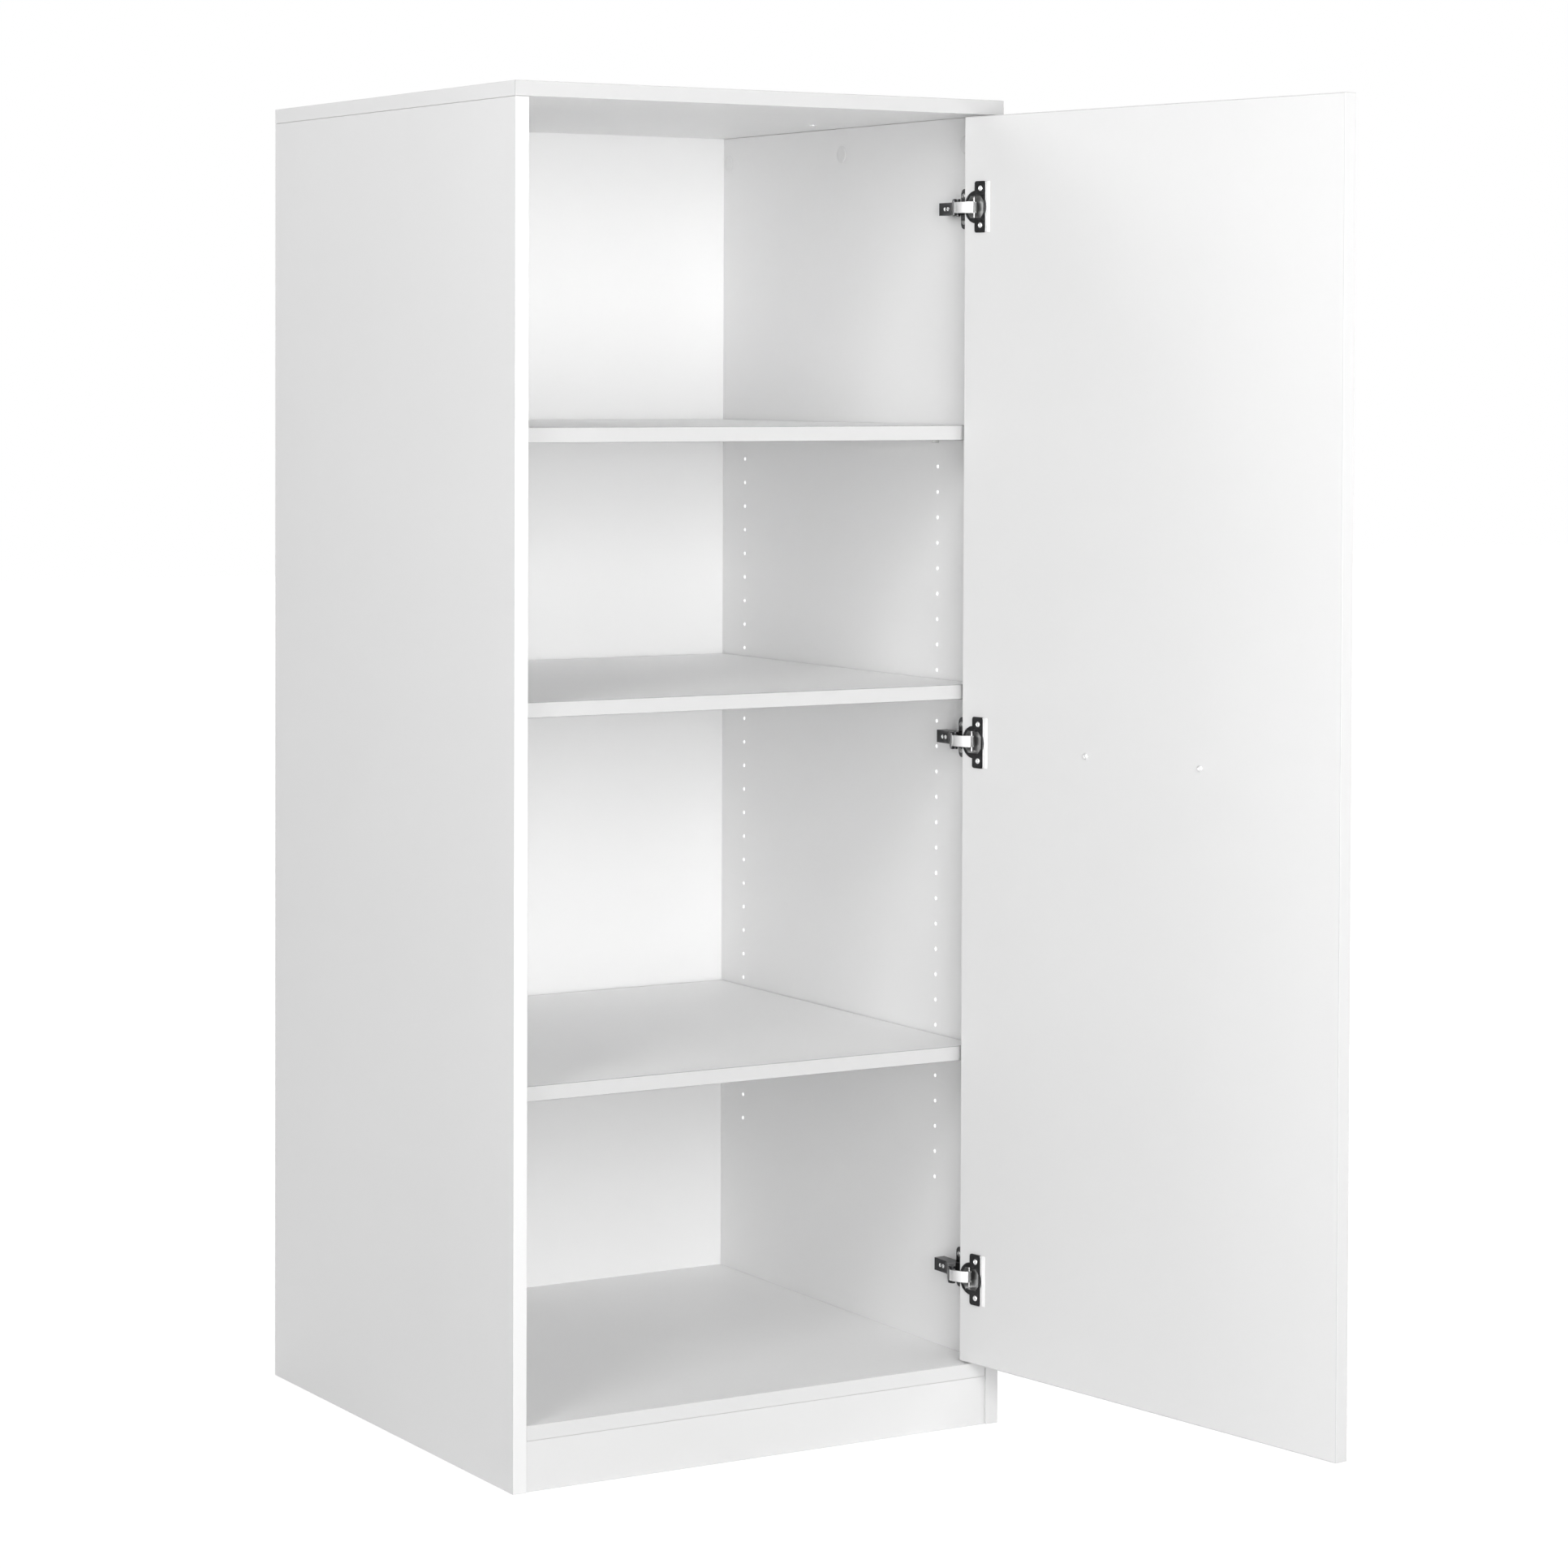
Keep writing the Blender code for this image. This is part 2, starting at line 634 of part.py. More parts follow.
def inner_pin():
    """The inner link's pin in the arm, as (out, back)."""
    return (DOOR_GAP + INNER_PIN_OUT, INNER_PIN_BACK)


def cup_pin():
    """The outer link's pin in the cup, as (out, back), with the door closed."""
    return (DOOR_GAP + CUP_PIN_OUT, -CUP_PIN_DEEP)


def pin_span(point, height, half):
    """The two ends of an upright pin."""
    x, y = plan(*point)
    return ((x, y, height - half), (x, y, height + half))


def link_points(start, end, offsets):
    """Points given along and across the line from one pin to another, as (out, back)."""
    start, end = Vector(start), Vector(end)
    along = (end - start).normalized()
    across = Vector((-along.y, along.x))
    return [tuple(start + along * x + across * y) for x, y in offsets]


def make_outer_link(name, height):
    """A bent channel: two cheeks with an eye at each end, joined by a web along their back edge."""
    start, end = arm_pin(), cup_pin()
    length = (Vector(end) - Vector(start)).length
    hole = HINGE_PIN / 2 + HINGE_EASE
    edge = arc((0, 0), hole + LINK_EYE_WALL, *LINK_EYE_ARC, LINK_EYE_STEPS)
    edge += [(x * length, y * length) for x, y in HOLLOW_EDGE_SHARES]
    edge += arc((length, 0), hole + CUP_EYE_WALL, *CUP_EYE_ARC, LINK_EYE_STEPS)
    edge += [(x * length, y * length) for x, y in BACK_EDGE_SHARES]
    outline = [plan(*p) for p in link_points(start, end, edge)]
    half = OUTER_LINK_WIDTH / 2
    made = slab(name, outline, PLAN, height - half, height + half, NICKEL)
    inside = [(x * length, y * length) for x, y in WEB_INSIDE_SHARES]
    outline = [plan(*p) for p in link_points(start, end, inside)]
    half -= HINGE_STEEL
    cut(made, slab(name + "_inside", outline, PLAN, height - half, height + half))
    reach = OUTER_LINK_WIDTH / 2 + OVERRUN
    cut(made, rods(name + "_eyes", [pin_span(p, height, reach) for p in (start, end)], hole, PIN_FACETS))
    return made


def cubic(controls, share):
    """The point at a share of the way along a cubic curve with four control points."""
    rest = 1 - share
    weights = (rest ** 3, 3 * rest ** 2 * share, 3 * rest * share ** 2, share ** 3)
    return tuple(sum(w * c[i] for w, c in zip(weights, controls)) for i in range(2))


def make_inner_link(name, height):
    """A narrow bent strip that turns on its own pin in the arm and reaches into the cup."""
    start, end = inner_pin(), (DOOR_GAP + INNER_TIP_OUT, -INNER_TIP_DEEP)
    length = (Vector(end) - Vector(start)).length
    controls = link_points(start, end, [(x * length, y * length) for x, y in INNER_BEND_SHARES])
    step = (1 - INNER_START_SHARE) / INNER_STEPS
    middle = [cubic(controls, INNER_START_SHARE + step * i) for i in range(INNER_STEPS + 1)]
    outline = offset_line(middle, HINGE_STEEL / 2) + offset_line(middle, -HINGE_STEEL / 2)[::-1]
    half = INNER_LINK_WIDTH / 2
    made = slab(name, [plan(*p) for p in outline], PLAN, height - half, height + half, NICKEL)
    hole = HINGE_PIN / 2 + HINGE_EASE
    span = pin_span(start, height, INNER_EYE_WIDTH / 2)
    join(made, rods(name + "_eye", [span], hole + INNER_EYE_WALL, PIN_FACETS))
    cut(made, rods(name + "_bore", [pin_span(start, height, INNER_LINK_WIDTH)], hole, PIN_FACETS))
    return made


def arm_web_line():
    """The outer surface of the arm's web, from its nose to its rear end, as (out, back)."""
    out, back = arm_pin()
    nose = (out + ARM_NOSE_COVER, back + ARM_NOSE_COVER)
    rise, run = nose[0] - ARM_HEIGHT, ARM_BEND - nose[1]
    line = [(ARM_HEIGHT + rise * up, nose[1] + run * along) for along, up in ARM_SLOPE_SHARES]
    return line + [(ARM_HEIGHT, ARM_REAR)]


def arm_width_outline(narrower, overrun):
    """The arm seen from the door side, as (back, up), wider at the nose than at the rear."""
    first, last = arm_web_line()[0][1], ARM_BEND
    bends = [first + (last - first) * share for share in ARM_TAPER_SHARES]
    nose, rear = ARM_NOSE_WIDTH / 2 - narrower, ARM_WIDTH / 2 - narrower
    half = [(-ARM_EYE_RADIUS - overrun, nose), (bends[0], nose)]
    half += [(bends[1], rear), (ARM_REAR + overrun, rear)]
    return half + [(back, -up) for back, up in reversed(half)]


def arm_shape(name, outline, widths, height, finish=None):
    """The solid that has one outline in plan and another seen from the side."""
    reach = ARM_NOSE_WIDTH / 2 + OVERRUN
    made = slab(name, [plan(*p) for p in outline], PLAN, height - reach, height + reach, finish)
    seen = [(DOOR_FACE_Y + back, height + up) for back, up in widths]
    other = slab(name + "_width", seen, SIDE, INNER_X - ARM_CUT_REACH, INNER_X + OVERRUN)
    return combine(made, other, "INTERSECT")


def make_arm(name, height):
    """The pressed arm: a web with two cheeks, and the two pins that the links turn on."""
    web = arm_web_line()
    outer, inner = arm_pin(), inner_pin()
    outline = web + [(ARM_FOOT, ARM_REAR), (ARM_FOOT, ARM_BEND)]
    outline += arc(outer, ARM_EYE_RADIUS, *ARM_EYE_ARC, ARM_EYE_STEPS)
    made = arm_shape(name, outline, arm_width_outline(0, OVERRUN), height, ZINC)
    inside = offset_line(web, -HINGE_STEEL)
    nose, step = Vector(inside[0]), Vector(web[0]) - Vector(inside[0])
    far = ARM_CUT_REACH
    hollow = [tuple(nose + step * far / step.length)] + inside
    hollow[-1] = (inside[-1][0], ARM_REAR + OVERRUN)
    hollow += [(-OVERRUN, ARM_REAR + OVERRUN), (-OVERRUN, -far), (far, -far)]
    widths = arm_width_outline(HINGE_STEEL, ARM_HOLLOW_OVERRUN)
    cut(made, arm_shape(name + "_inside", hollow, widths, height))
    spans = [pin_span(p, height, ARM_NOSE_WIDTH / 2 + HINGE_EASE) for p in (outer, inner)]
    join(made, rods(name + "_pins", spans, HINGE_PIN / 2, PIN_FACETS))
    half = (SLOT_LENGTH - SLOT_WIDTH) / 2
    middle = DOOR_FACE_Y + SLOT_CENTRE
    slot = arc((middle + half, height), SLOT_WIDTH / 2, -90, 90, SLOT_STEPS)
    slot += arc((middle - half, height), SLOT_WIDTH / 2, 90, 270, SLOT_STEPS)
    cut(made, slab(name + "_slot", slot, SIDE, INNER_X - ARM_HEIGHT - OVERRUN, INNER_X - ARM_HEIGHT / 2))
    return made


def make_plate(name, height):
    """The cross-shaped plate on the side panel, with a ridge that carries the arm and its adjuster."""
    y = DOOR_FACE_Y
    wing = WING_WIDTH / 2
    tip = WING_LENGTH / 2 - wing
    outline = arc((y + WING_CENTRE, height + tip), wing, 0, 180, WING_STEPS)
    outline += arc((y + WING_CENTRE, height - tip), wing, 180, 360, WING_STEPS)
    face = INNER_X - SEAT
    made = slab(name, outline, SIDE, face - PLATE_THICKNESS, face, ZINC)
    body = PLATE_WIDTH / 2
    join(made, block(
        name + "_body", (face - PLATE_BODY_THICKNESS, y + PLATE_FRONT, height - body),
        (face, y + PLATE_REAR, height + body)
    ))
    under, top = SEAT + PLATE_THICKNESS / 2, ARM_HEIGHT - HINGE_STEEL - RIDGE_EASE
    step = (ARM_BEND - PLATE_FRONT) * RIDGE_FRONT_SHARE
    ridge = [(under, PLATE_REAR - RIDGE_EASE), (top, PLATE_REAR - RIDGE_EASE), (top, ARM_BEND)]
    ridge += [(top * RIDGE_FRONT_SHARE, PLATE_FRONT + step), (under, PLATE_FRONT + RIDGE_EASE)]
    half = RIDGE_WIDTH / 2
    join(made, slab(name + "_ridge", [plan(*p) for p in ridge], PLAN, height - half, height + half))
    x, middle = INNER_X - top, y + SLOT_CENTRE
    span = ((x + PLATE_THICKNESS, middle, height), (INNER_X - ARM_HEIGHT, middle, height))
    join(made, rods(name + "_adjuster", [span], ADJUSTER_DIAMETER / 2, SCREW_SIDES))
    spans = []
    for place in plate_screw_places(height).values():
        spans.append(((INNER_X + OVERRUN, *place[1:]), (face - PLATE_THICKNESS - OVERRUN, *place[1:])))
    cut(made, rods(name + "_holes", spans, PLATE_SCREW["shank"] / 2 + SCREW_EASE, SCREW_SIDES))
    for end, place in plate_screw_places(height).items():
        lift = SEAT + SEAT + PLATE_THICKNESS
        seat = (place[0] - lift, *place[1:])
        key = name.replace("mounting_plate", "plate_screw")
        screw(f"{key}_{end}", seat, (-1, 0, 0), PLATE_SCREW, PLATE_SCREW["length"])
    return made


def make_cup(name, height):
    """The hinge cup: a pot in the door with a well, a flange on the door's face and its pin."""
    centre = DOOR_EDGE_X - CUP_CENTRE_OUT
    face = DOOR_FACE_Y + SEAT
    floor = DOOR_FACE_Y - CUP_BORE_DEPTH + SEAT
    rim_top, flange_top = face + CUP_RIM_THICKNESS, face + FLANGE_THICKNESS
    pot = [((centre, floor, height), (centre, rim_top, height))]
    made = rods(name, pot, CUP_BORE / 2 - SEAT, CUP_SIDES, ZINC)
    rim = [((centre, face, height), (centre, rim_top, height))]
    join(made, rods(name + "_rim", rim, CUP_RIM / 2, CUP_SIDES))
    near = DOOR_EDGE_X - FLANGE_FRONT
    low, high = height - FLANGE_LENGTH / 2, height + FLANGE_LENGTH / 2
    flange = rounded_rectangle((near - FLANGE_WIDTH, low), (near, high), FLANGE_CORNER)
    join(made, slab(name + "_flange", flange, FRONT, -flange_top, -face))
    half, wide, narrow = WELL_LENGTH / 2, WELL_WIDTH / 2, WELL_FRONT_WIDTH / 2
    corner = half - WELL_CORNER
    well = [(half, narrow), (corner, wide), (-corner, wide), (-half, narrow)]
    well += [(x, -z) for x, z in reversed(well)]
    well = [(centre + x, height + z) for x, z in well]
    above = flange_top + OVERRUN
    cut(made, slab(name + "_well", well, FRONT, -above, -(floor + CUP_FLOOR)))
    near, far = DOOR_EDGE_X - NOTCH_FRONT, DOOR_EDGE_X - NOTCH_BACK
    cut(made, block(
        name + "_notch", (far, DOOR_FACE_Y - NOTCH_DEPTH, height - narrow), (near, above, height + narrow)
    ))
    cut(made, block(
        name + "_mouth", (far, DOOR_FACE_Y, height - narrow), (DOOR_EDGE_X, above, height + narrow)
    ))
    pin = [pin_span(cup_pin(), height, WELL_WIDTH / 2 - CUP_PIN_END_EASE)]
    join(made, rods(name + "_pin", pin, HINGE_PIN / 2, PIN_FACETS))
    spans = [((x, above, z), (x, DOOR_FACE_Y, z)) for x, z in cup_screw_places(height).values()]
    cut(made, rods(name + "_holes", spans, CUP_SCREW["shank"] / 2 + SCREW_EASE, SCREW_SIDES))
    pieces = [made]
    for end, (x, z) in cup_screw_places(height).items():
        key = name.replace("hinge_cup", "cup_screw")
        seat = (x, flange_top + SEAT, z)
        pieces.append(screw(f"{key}_{end}", seat, (0, 1, 0), CUP_SCREW, CUP_SCREW["length"]))
    return pieces


def make_axis(name, point, carrier=None):
    """An empty on an upright joint axis, in plan at (out, back) with the door closed."""
    made = bpy.data.objects.new(name, None)
    CABINET.objects.link(made)
    place = Vector((*plan(*point), 0))
    if carrier is not None:
        made.parent = carrier
        place -= carrier.location
    made.location = place
    return made


def with_cutters(piece):
    """The piece and every hidden object that shapes it."""
    found = [piece]
    for step in piece.modifiers:
        if step.type == "BOOLEAN":
            found += with_cutters(step.object)
    return found


def hang(pieces, axis, point):
    """Parents pieces to a joint axis, where they stand, with what shapes them."""
    for piece in pieces:
        for member in with_cutters(piece):
            member.parent = axis
            member.matrix_parent_inverse = Matrix.Translation((*plan(*point), 0)).inverted()


def main():
    """Makes the cabinet closed, then opens its door."""
    make_carcass()
    make_cam_fittings()
    make_shelves()
    door_pieces = [make_door()] + make_handle()
    outer_links, inner_links = [], []
    for name, height in HINGE_HEIGHTS.items():
        make_plate(f"mounting_plate_{name}", height)
        make_arm(f"hinge_arm_{name}", height)
        outer_links.append(make_outer_link(f"outer_link_{name}", height))
        inner_links.append(make_inner_link(f"inner_link_{name}", height))
        door_pieces += make_cup(f"hinge_cup_{name}", height)
    outer_axis = make_axis("outer_link_axis", arm_pin())
    inner_axis = make_axis("inner_link_axis", inner_pin())
    door_axis = make_axis("door_axis", cup_pin(), outer_axis)
    hang(outer_links, outer_axis, arm_pin())
    hang(inner_links, inner_axis, inner_pin())
    hang(door_pieces, door_axis, cup_pin())
    outer_axis.rotation_euler.z = -OUTER_LINK_TURN
    inner_axis.rotation_euler.z = -INNER_LINK_TURN
    door_axis.rotation_euler.z = DOOR_OPEN + OUTER_LINK_TURN


main()
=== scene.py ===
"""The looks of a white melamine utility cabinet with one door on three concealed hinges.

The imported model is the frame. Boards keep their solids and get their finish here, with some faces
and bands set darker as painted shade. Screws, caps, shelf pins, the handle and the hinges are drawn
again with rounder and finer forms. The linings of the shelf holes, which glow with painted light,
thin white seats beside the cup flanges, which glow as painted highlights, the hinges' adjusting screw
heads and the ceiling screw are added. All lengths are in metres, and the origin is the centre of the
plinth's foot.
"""

import math

import bmesh
import bpy
import numpy as np
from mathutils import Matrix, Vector


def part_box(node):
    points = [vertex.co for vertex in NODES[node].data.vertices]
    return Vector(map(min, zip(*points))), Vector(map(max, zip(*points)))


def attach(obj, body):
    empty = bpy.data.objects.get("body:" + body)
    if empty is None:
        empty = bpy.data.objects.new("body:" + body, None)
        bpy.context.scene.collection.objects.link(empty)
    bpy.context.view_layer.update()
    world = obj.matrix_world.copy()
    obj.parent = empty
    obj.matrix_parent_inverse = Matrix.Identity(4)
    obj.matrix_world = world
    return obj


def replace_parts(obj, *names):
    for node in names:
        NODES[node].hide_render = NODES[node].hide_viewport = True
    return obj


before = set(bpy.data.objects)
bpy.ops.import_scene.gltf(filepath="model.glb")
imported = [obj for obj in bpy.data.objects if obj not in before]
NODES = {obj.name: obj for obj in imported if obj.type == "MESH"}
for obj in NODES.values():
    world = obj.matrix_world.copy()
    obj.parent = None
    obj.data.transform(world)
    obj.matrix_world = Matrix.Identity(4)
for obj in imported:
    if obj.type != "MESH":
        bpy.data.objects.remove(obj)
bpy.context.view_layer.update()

# The photographed door: how far it stands open, and the directions of its inner face's normal and
# of its width, away from the hinges
DOOR_ANGLE = math.radians(98.6)
DOOR_IN = np.array((-math.sin(DOOR_ANGLE), math.cos(DOOR_ANGLE), 0.0))
DOOR_ALONG = np.array((-math.cos(DOOR_ANGLE), -math.sin(DOOR_ANGLE), 0.0))
UP = np.array((0.0, 0.0, 1.0))
DOWN = -UP
EAST = np.array((1.0, 0.0, 0.0))
INWARD = -EAST

HEIGHTS = ("top", "middle", "bottom")
HANDS = ("left", "right")

# Places read from the frame: the right side's inner face, the carcass's front, the underside of the
# top panel, and the inner face of the closed door
BOARD = 0.018
INNER_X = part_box("right_side")[0][0]
FRONT_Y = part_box("right_side")[0][1]
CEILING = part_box("top_panel")[1][2] - BOARD
DOOR_FACE_Y = FRONT_Y + BOARD


def grey(level):
    """A neutral colour."""
    return (level, level, level, 1.0)


def add_object(name, data):
    """A new object in the scene."""
    made = bpy.data.objects.new(name, data)
    bpy.context.scene.collection.objects.link(made)
    return made


# Nodes

def feed(tree, slot, value):
    """Links a socket to an input, or sets the input to a value."""
    if isinstance(value, bpy.types.NodeSocket):
        tree.links.new(value, slot)
    else:
        slot.default_value = value


def math_node(tree, operation, *values):
    """The result of a Math node on sockets or numbers."""
    node = tree.nodes.new("ShaderNodeMath")
    node.operation = operation
    for slot, value in zip(node.inputs, values):
        feed(tree, slot, value)
    return node.outputs[0]


def vector_node(tree, operation, *values):
    """The outputs of a Vector Math node on sockets or vectors: Vector and Value."""
    node = tree.nodes.new("ShaderNodeVectorMath")
    node.operation = operation
    for slot, value in zip(node.inputs, values):
        feed(tree, slot, value)
    return node.outputs


def mix_colour(tree, share, first, second, mode="MIX"):
    """A colour mix of sockets or colours."""
    node = tree.nodes.new("ShaderNodeMix")
    node.data_type = "RGBA"
    node.blend_type = mode
    for slot, value in ((0, share), (6, first), (7, second)):
        feed(tree, node.inputs[slot], value)
    return node.outputs[2]


def mix_shader(tree, share, first, second):
    """A mix of two shaders."""
    node = tree.nodes.new("ShaderNodeMixShader")
    for slot, value in enumerate((share, first, second)):
        tree.links.new(value, node.inputs[slot])
    return node.outputs[0]


def seen_directly(tree):
    """1 where a ray comes from the camera or from a reflection, and 0 elsewhere."""
    path = tree.nodes.new("ShaderNodeLightPath")
    return math_node(tree, "MAXIMUM", path.outputs["Is Camera Ray"], path.outputs["Is Glossy Ray"])


# Camera, light and floor

# The camera's place, its turn in degrees, its lens and sensor in millimetres, its upright shift as a
# share of the sensor's width, and the distances between which it sees
CAMERA_PLACE = (-2.5578, -4.3379, 1.3059)
CAMERA_TURN = (88.509, -0.202, -30.819)
CAMERA_LENS = 96.72
CAMERA_SENSOR = 36.0
CAMERA_SHIFT = -0.1943
CAMERA_CLIP = (0.05, 60.0)

# Square area lights: place, the point that each faces, the length of its sides, and watts
LIGHTS = {
    "front": ((-0.9, -5.5, 1.5), (0.0, 0.2, 0.9), 2.4, 47.0),
    "high": ((-0.9, -3.2, 1.95), (0.0, 0.0, 1.4), 1.4, 38.0),
    "near": ((-0.3, -2.6, 1.55), (0.0, 0.3, 1.3), 1.0, 9.0),
    "low": ((-2.0, -5.0, 0.7), (0.0, 0.0, 0.6), 1.8, 84.0),
    "side": ((-2.6, -1.4, 2.5), (-0.3, 0.3, 1.2), 1.2, 35.0),
    "rear_side": ((-2.4, 1.9, 2.9), (-0.34, 0.3, 1.3), 1.4, 22.0),
    "back": ((2.2, 3.6, 2.2), (0.1, 0.4, 0.9), 2.0, 70.0),
    "right": ((3.8, -1.4, 1.9), (0.4, -0.2, 0.8), 2.0, 54.0),
    "top": ((1.3, 1.4, 3.6), (0.0, 0.3, 1.6), 2.0, 30.0),
}
AMBIENT = 0.05

# The floor's side length, white and roughness, and its glow for the camera and for reflections: the
# glow's strength, its share near the cabinet, and the distances between which that share grows to 1
FLOOR_SIZE = 40.0
FLOOR_WHITE = 0.82
FLOOR_ROUGHNESS = 0.9
FLOOR_STRENGTH = 1.18
FLOOR_GLOW = 0.74
FLOOR_NEAR = 1.2
FLOOR_FAR = 3.2


def make_camera():
    """The camera at the photograph's angle."""
    data = bpy.data.cameras.new("camera")
    data.sensor_width = CAMERA_SENSOR
    data.lens = CAMERA_LENS
    data.shift_y = CAMERA_SHIFT
    data.clip_start, data.clip_end = CAMERA_CLIP
    made = add_object("camera", data)
    made.location = CAMERA_PLACE
    made.rotation_euler = [math.radians(a) for a in CAMERA_TURN]
    bpy.context.scene.camera = made


def make_lights():
    """The square area lights, each turned to the point that it faces."""
    for name, (place, aim, size, power) in LIGHTS.items():
        data = bpy.data.lights.new(name, "AREA")
        data.shape = "SQUARE"
        data.size = size
        data.energy = power
        made = add_object(name, data)
        made.location = place
        made.rotation_euler = (Vector(aim) - Vector(place)).to_track_quat("-Z", "Y").to_euler()


def make_world():
    """A world that looks white and lights softly."""
    world = bpy.data.worlds.new("studio")
    world.use_nodes = True
    bpy.context.scene.world = world
    tree = world.node_tree
    tree.nodes.clear()
    shown, soft = (tree.nodes.new("ShaderNodeBackground") for _ in range(2))
    shown.inputs["Color"].default_value = grey(1.0)
    soft.inputs["Color"].default_value = grey(1.0)
    soft.inputs["Strength"].default_value = AMBIENT
    mixed = mix_shader(tree, seen_directly(tree), soft.outputs[0], shown.outputs[0])
    out = tree.nodes.new("ShaderNodeOutputWorld")
    tree.links.new(mixed, out.inputs["Surface"])


def make_floor():
    """A pale floor that keeps a faint shadow and fades into the white around it."""
    made, tree, shader, place = new_material("floor_white")
    shader.inputs["Base Color"].default_value = grey(FLOOR_WHITE)
    shader.inputs["Roughness"].default_value = FLOOR_ROUGHNESS
    glow = tree.nodes.new("ShaderNodeEmission")
    glow.inputs["Strength"].default_value = FLOOR_STRENGTH
    growth = tree.nodes.new("ShaderNodeMapRange")
    growth.inputs["From Min"].default_value = FLOOR_NEAR
    growth.inputs["From Max"].default_value = FLOOR_FAR
    growth.inputs["To Min"].default_value = FLOOR_GLOW
    growth.inputs["To Max"].default_value = 1.0
    tree.links.new(vector_node(tree, "LENGTH", place)["Value"], growth.inputs["Value"])
    share = math_node(tree, "MULTIPLY", seen_directly(tree), growth.outputs["Result"])
    mixed = mix_shader(tree, share, shader.outputs[0], glow.outputs[0])
    tree.links.new(mixed, tree.nodes["Material Output"].inputs["Surface"])
    far = FLOOR_SIZE / 2
    mesh = bpy.data.meshes.new("floor")
    outline = [(-far, -far, 0), (far, -far, 0), (far, far, 0), (-far, far, 0)]
    mesh.from_pydata(outline, [], [(0, 1, 2, 3)])
    mesh.materials.append(made)
    floor = add_object("floor", mesh)


# Node groups

# Edge bands: their thickness, the width of the line at their joint, and the width of the broken edge
BAND = 0.0010
BAND_LINE = 0.00016
RIM = 0.00048

# Orange peel: the coarser swell's scale as a share of the fine one's, and the share of each in the
# height
COARSE_SCALE = 0.37
FINE_SHARE = 0.6
COARSE_SHARE = 0.4

# The details of the noises: of the fine swell, of the coarse one, and of drifts, grain and clouds
FINE_DETAIL = 1.0
COARSE_DETAIL = 2.0
RICH_DETAIL = 3.0

# Metal: the scales of its grain and of its clouds, and how rough the grain's noise is
GRAIN_SCALE = 1500.0
CLOUD_SCALE = 60.0
GRAIN_ROUGH = 0.6

# The range that a noise's values fill
NOISE_LOW = 0.3
NOISE_HIGH = 0.7


def new_group(name, inputs, outputs):
    """A shader node group: its tree, the sockets that it is given, and its output node."""
    tree = bpy.data.node_groups.new(name, "ShaderNodeTree")
    for label, kind, value in inputs:
        socket = tree.interface.new_socket(label, in_out="INPUT", socket_type=f"NodeSocket{kind}")
        socket.default_value = value
    for label in outputs:
        tree.interface.new_socket(label, in_out="OUTPUT", socket_type="NodeSocketFloat")
    return tree, tree.nodes.new("NodeGroupInput").outputs, tree.nodes.new("NodeGroupOutput")


def noise(tree, vector, scale, detail, rough=0.5):
    """A Noise texture on a vector."""
    node = tree.nodes.new("ShaderNodeTexNoise")
    node.inputs["Detail"].default_value = detail
    node.inputs["Roughness"].default_value = rough
    tree.links.new(scale, node.inputs["Scale"])
    tree.links.new(vector, node.inputs["Vector"])
    return node.outputs["Fac"]


def make_peel():
    """Orange peel: a fine soft swell over a coarser one, and a slow drift across a board."""
    tree, given, out = new_group(
        "orange_peel",
        [("Vector", "Vector", (0, 0, 0)), ("Scale", "Float", 1.0), ("Drift Scale", "Float", 1.0)],
        ["Height", "Drift"],
    )
    place, scale = given["Vector"], given["Scale"]
    fine = noise(tree, place, scale, FINE_DETAIL)
    coarse = noise(tree, place, math_node(tree, "MULTIPLY", scale, COARSE_SCALE), COARSE_DETAIL)
    fine_part = math_node(tree, "MULTIPLY", fine, FINE_SHARE)
    coarse_part = math_node(tree, "MULTIPLY", coarse, COARSE_SHARE)
    tree.links.new(math_node(tree, "ADD", fine_part, coarse_part), out.inputs["Height"])
    tree.links.new(noise(tree, place, given["Drift Scale"], RICH_DETAIL), out.inputs["Drift"])
    return tree


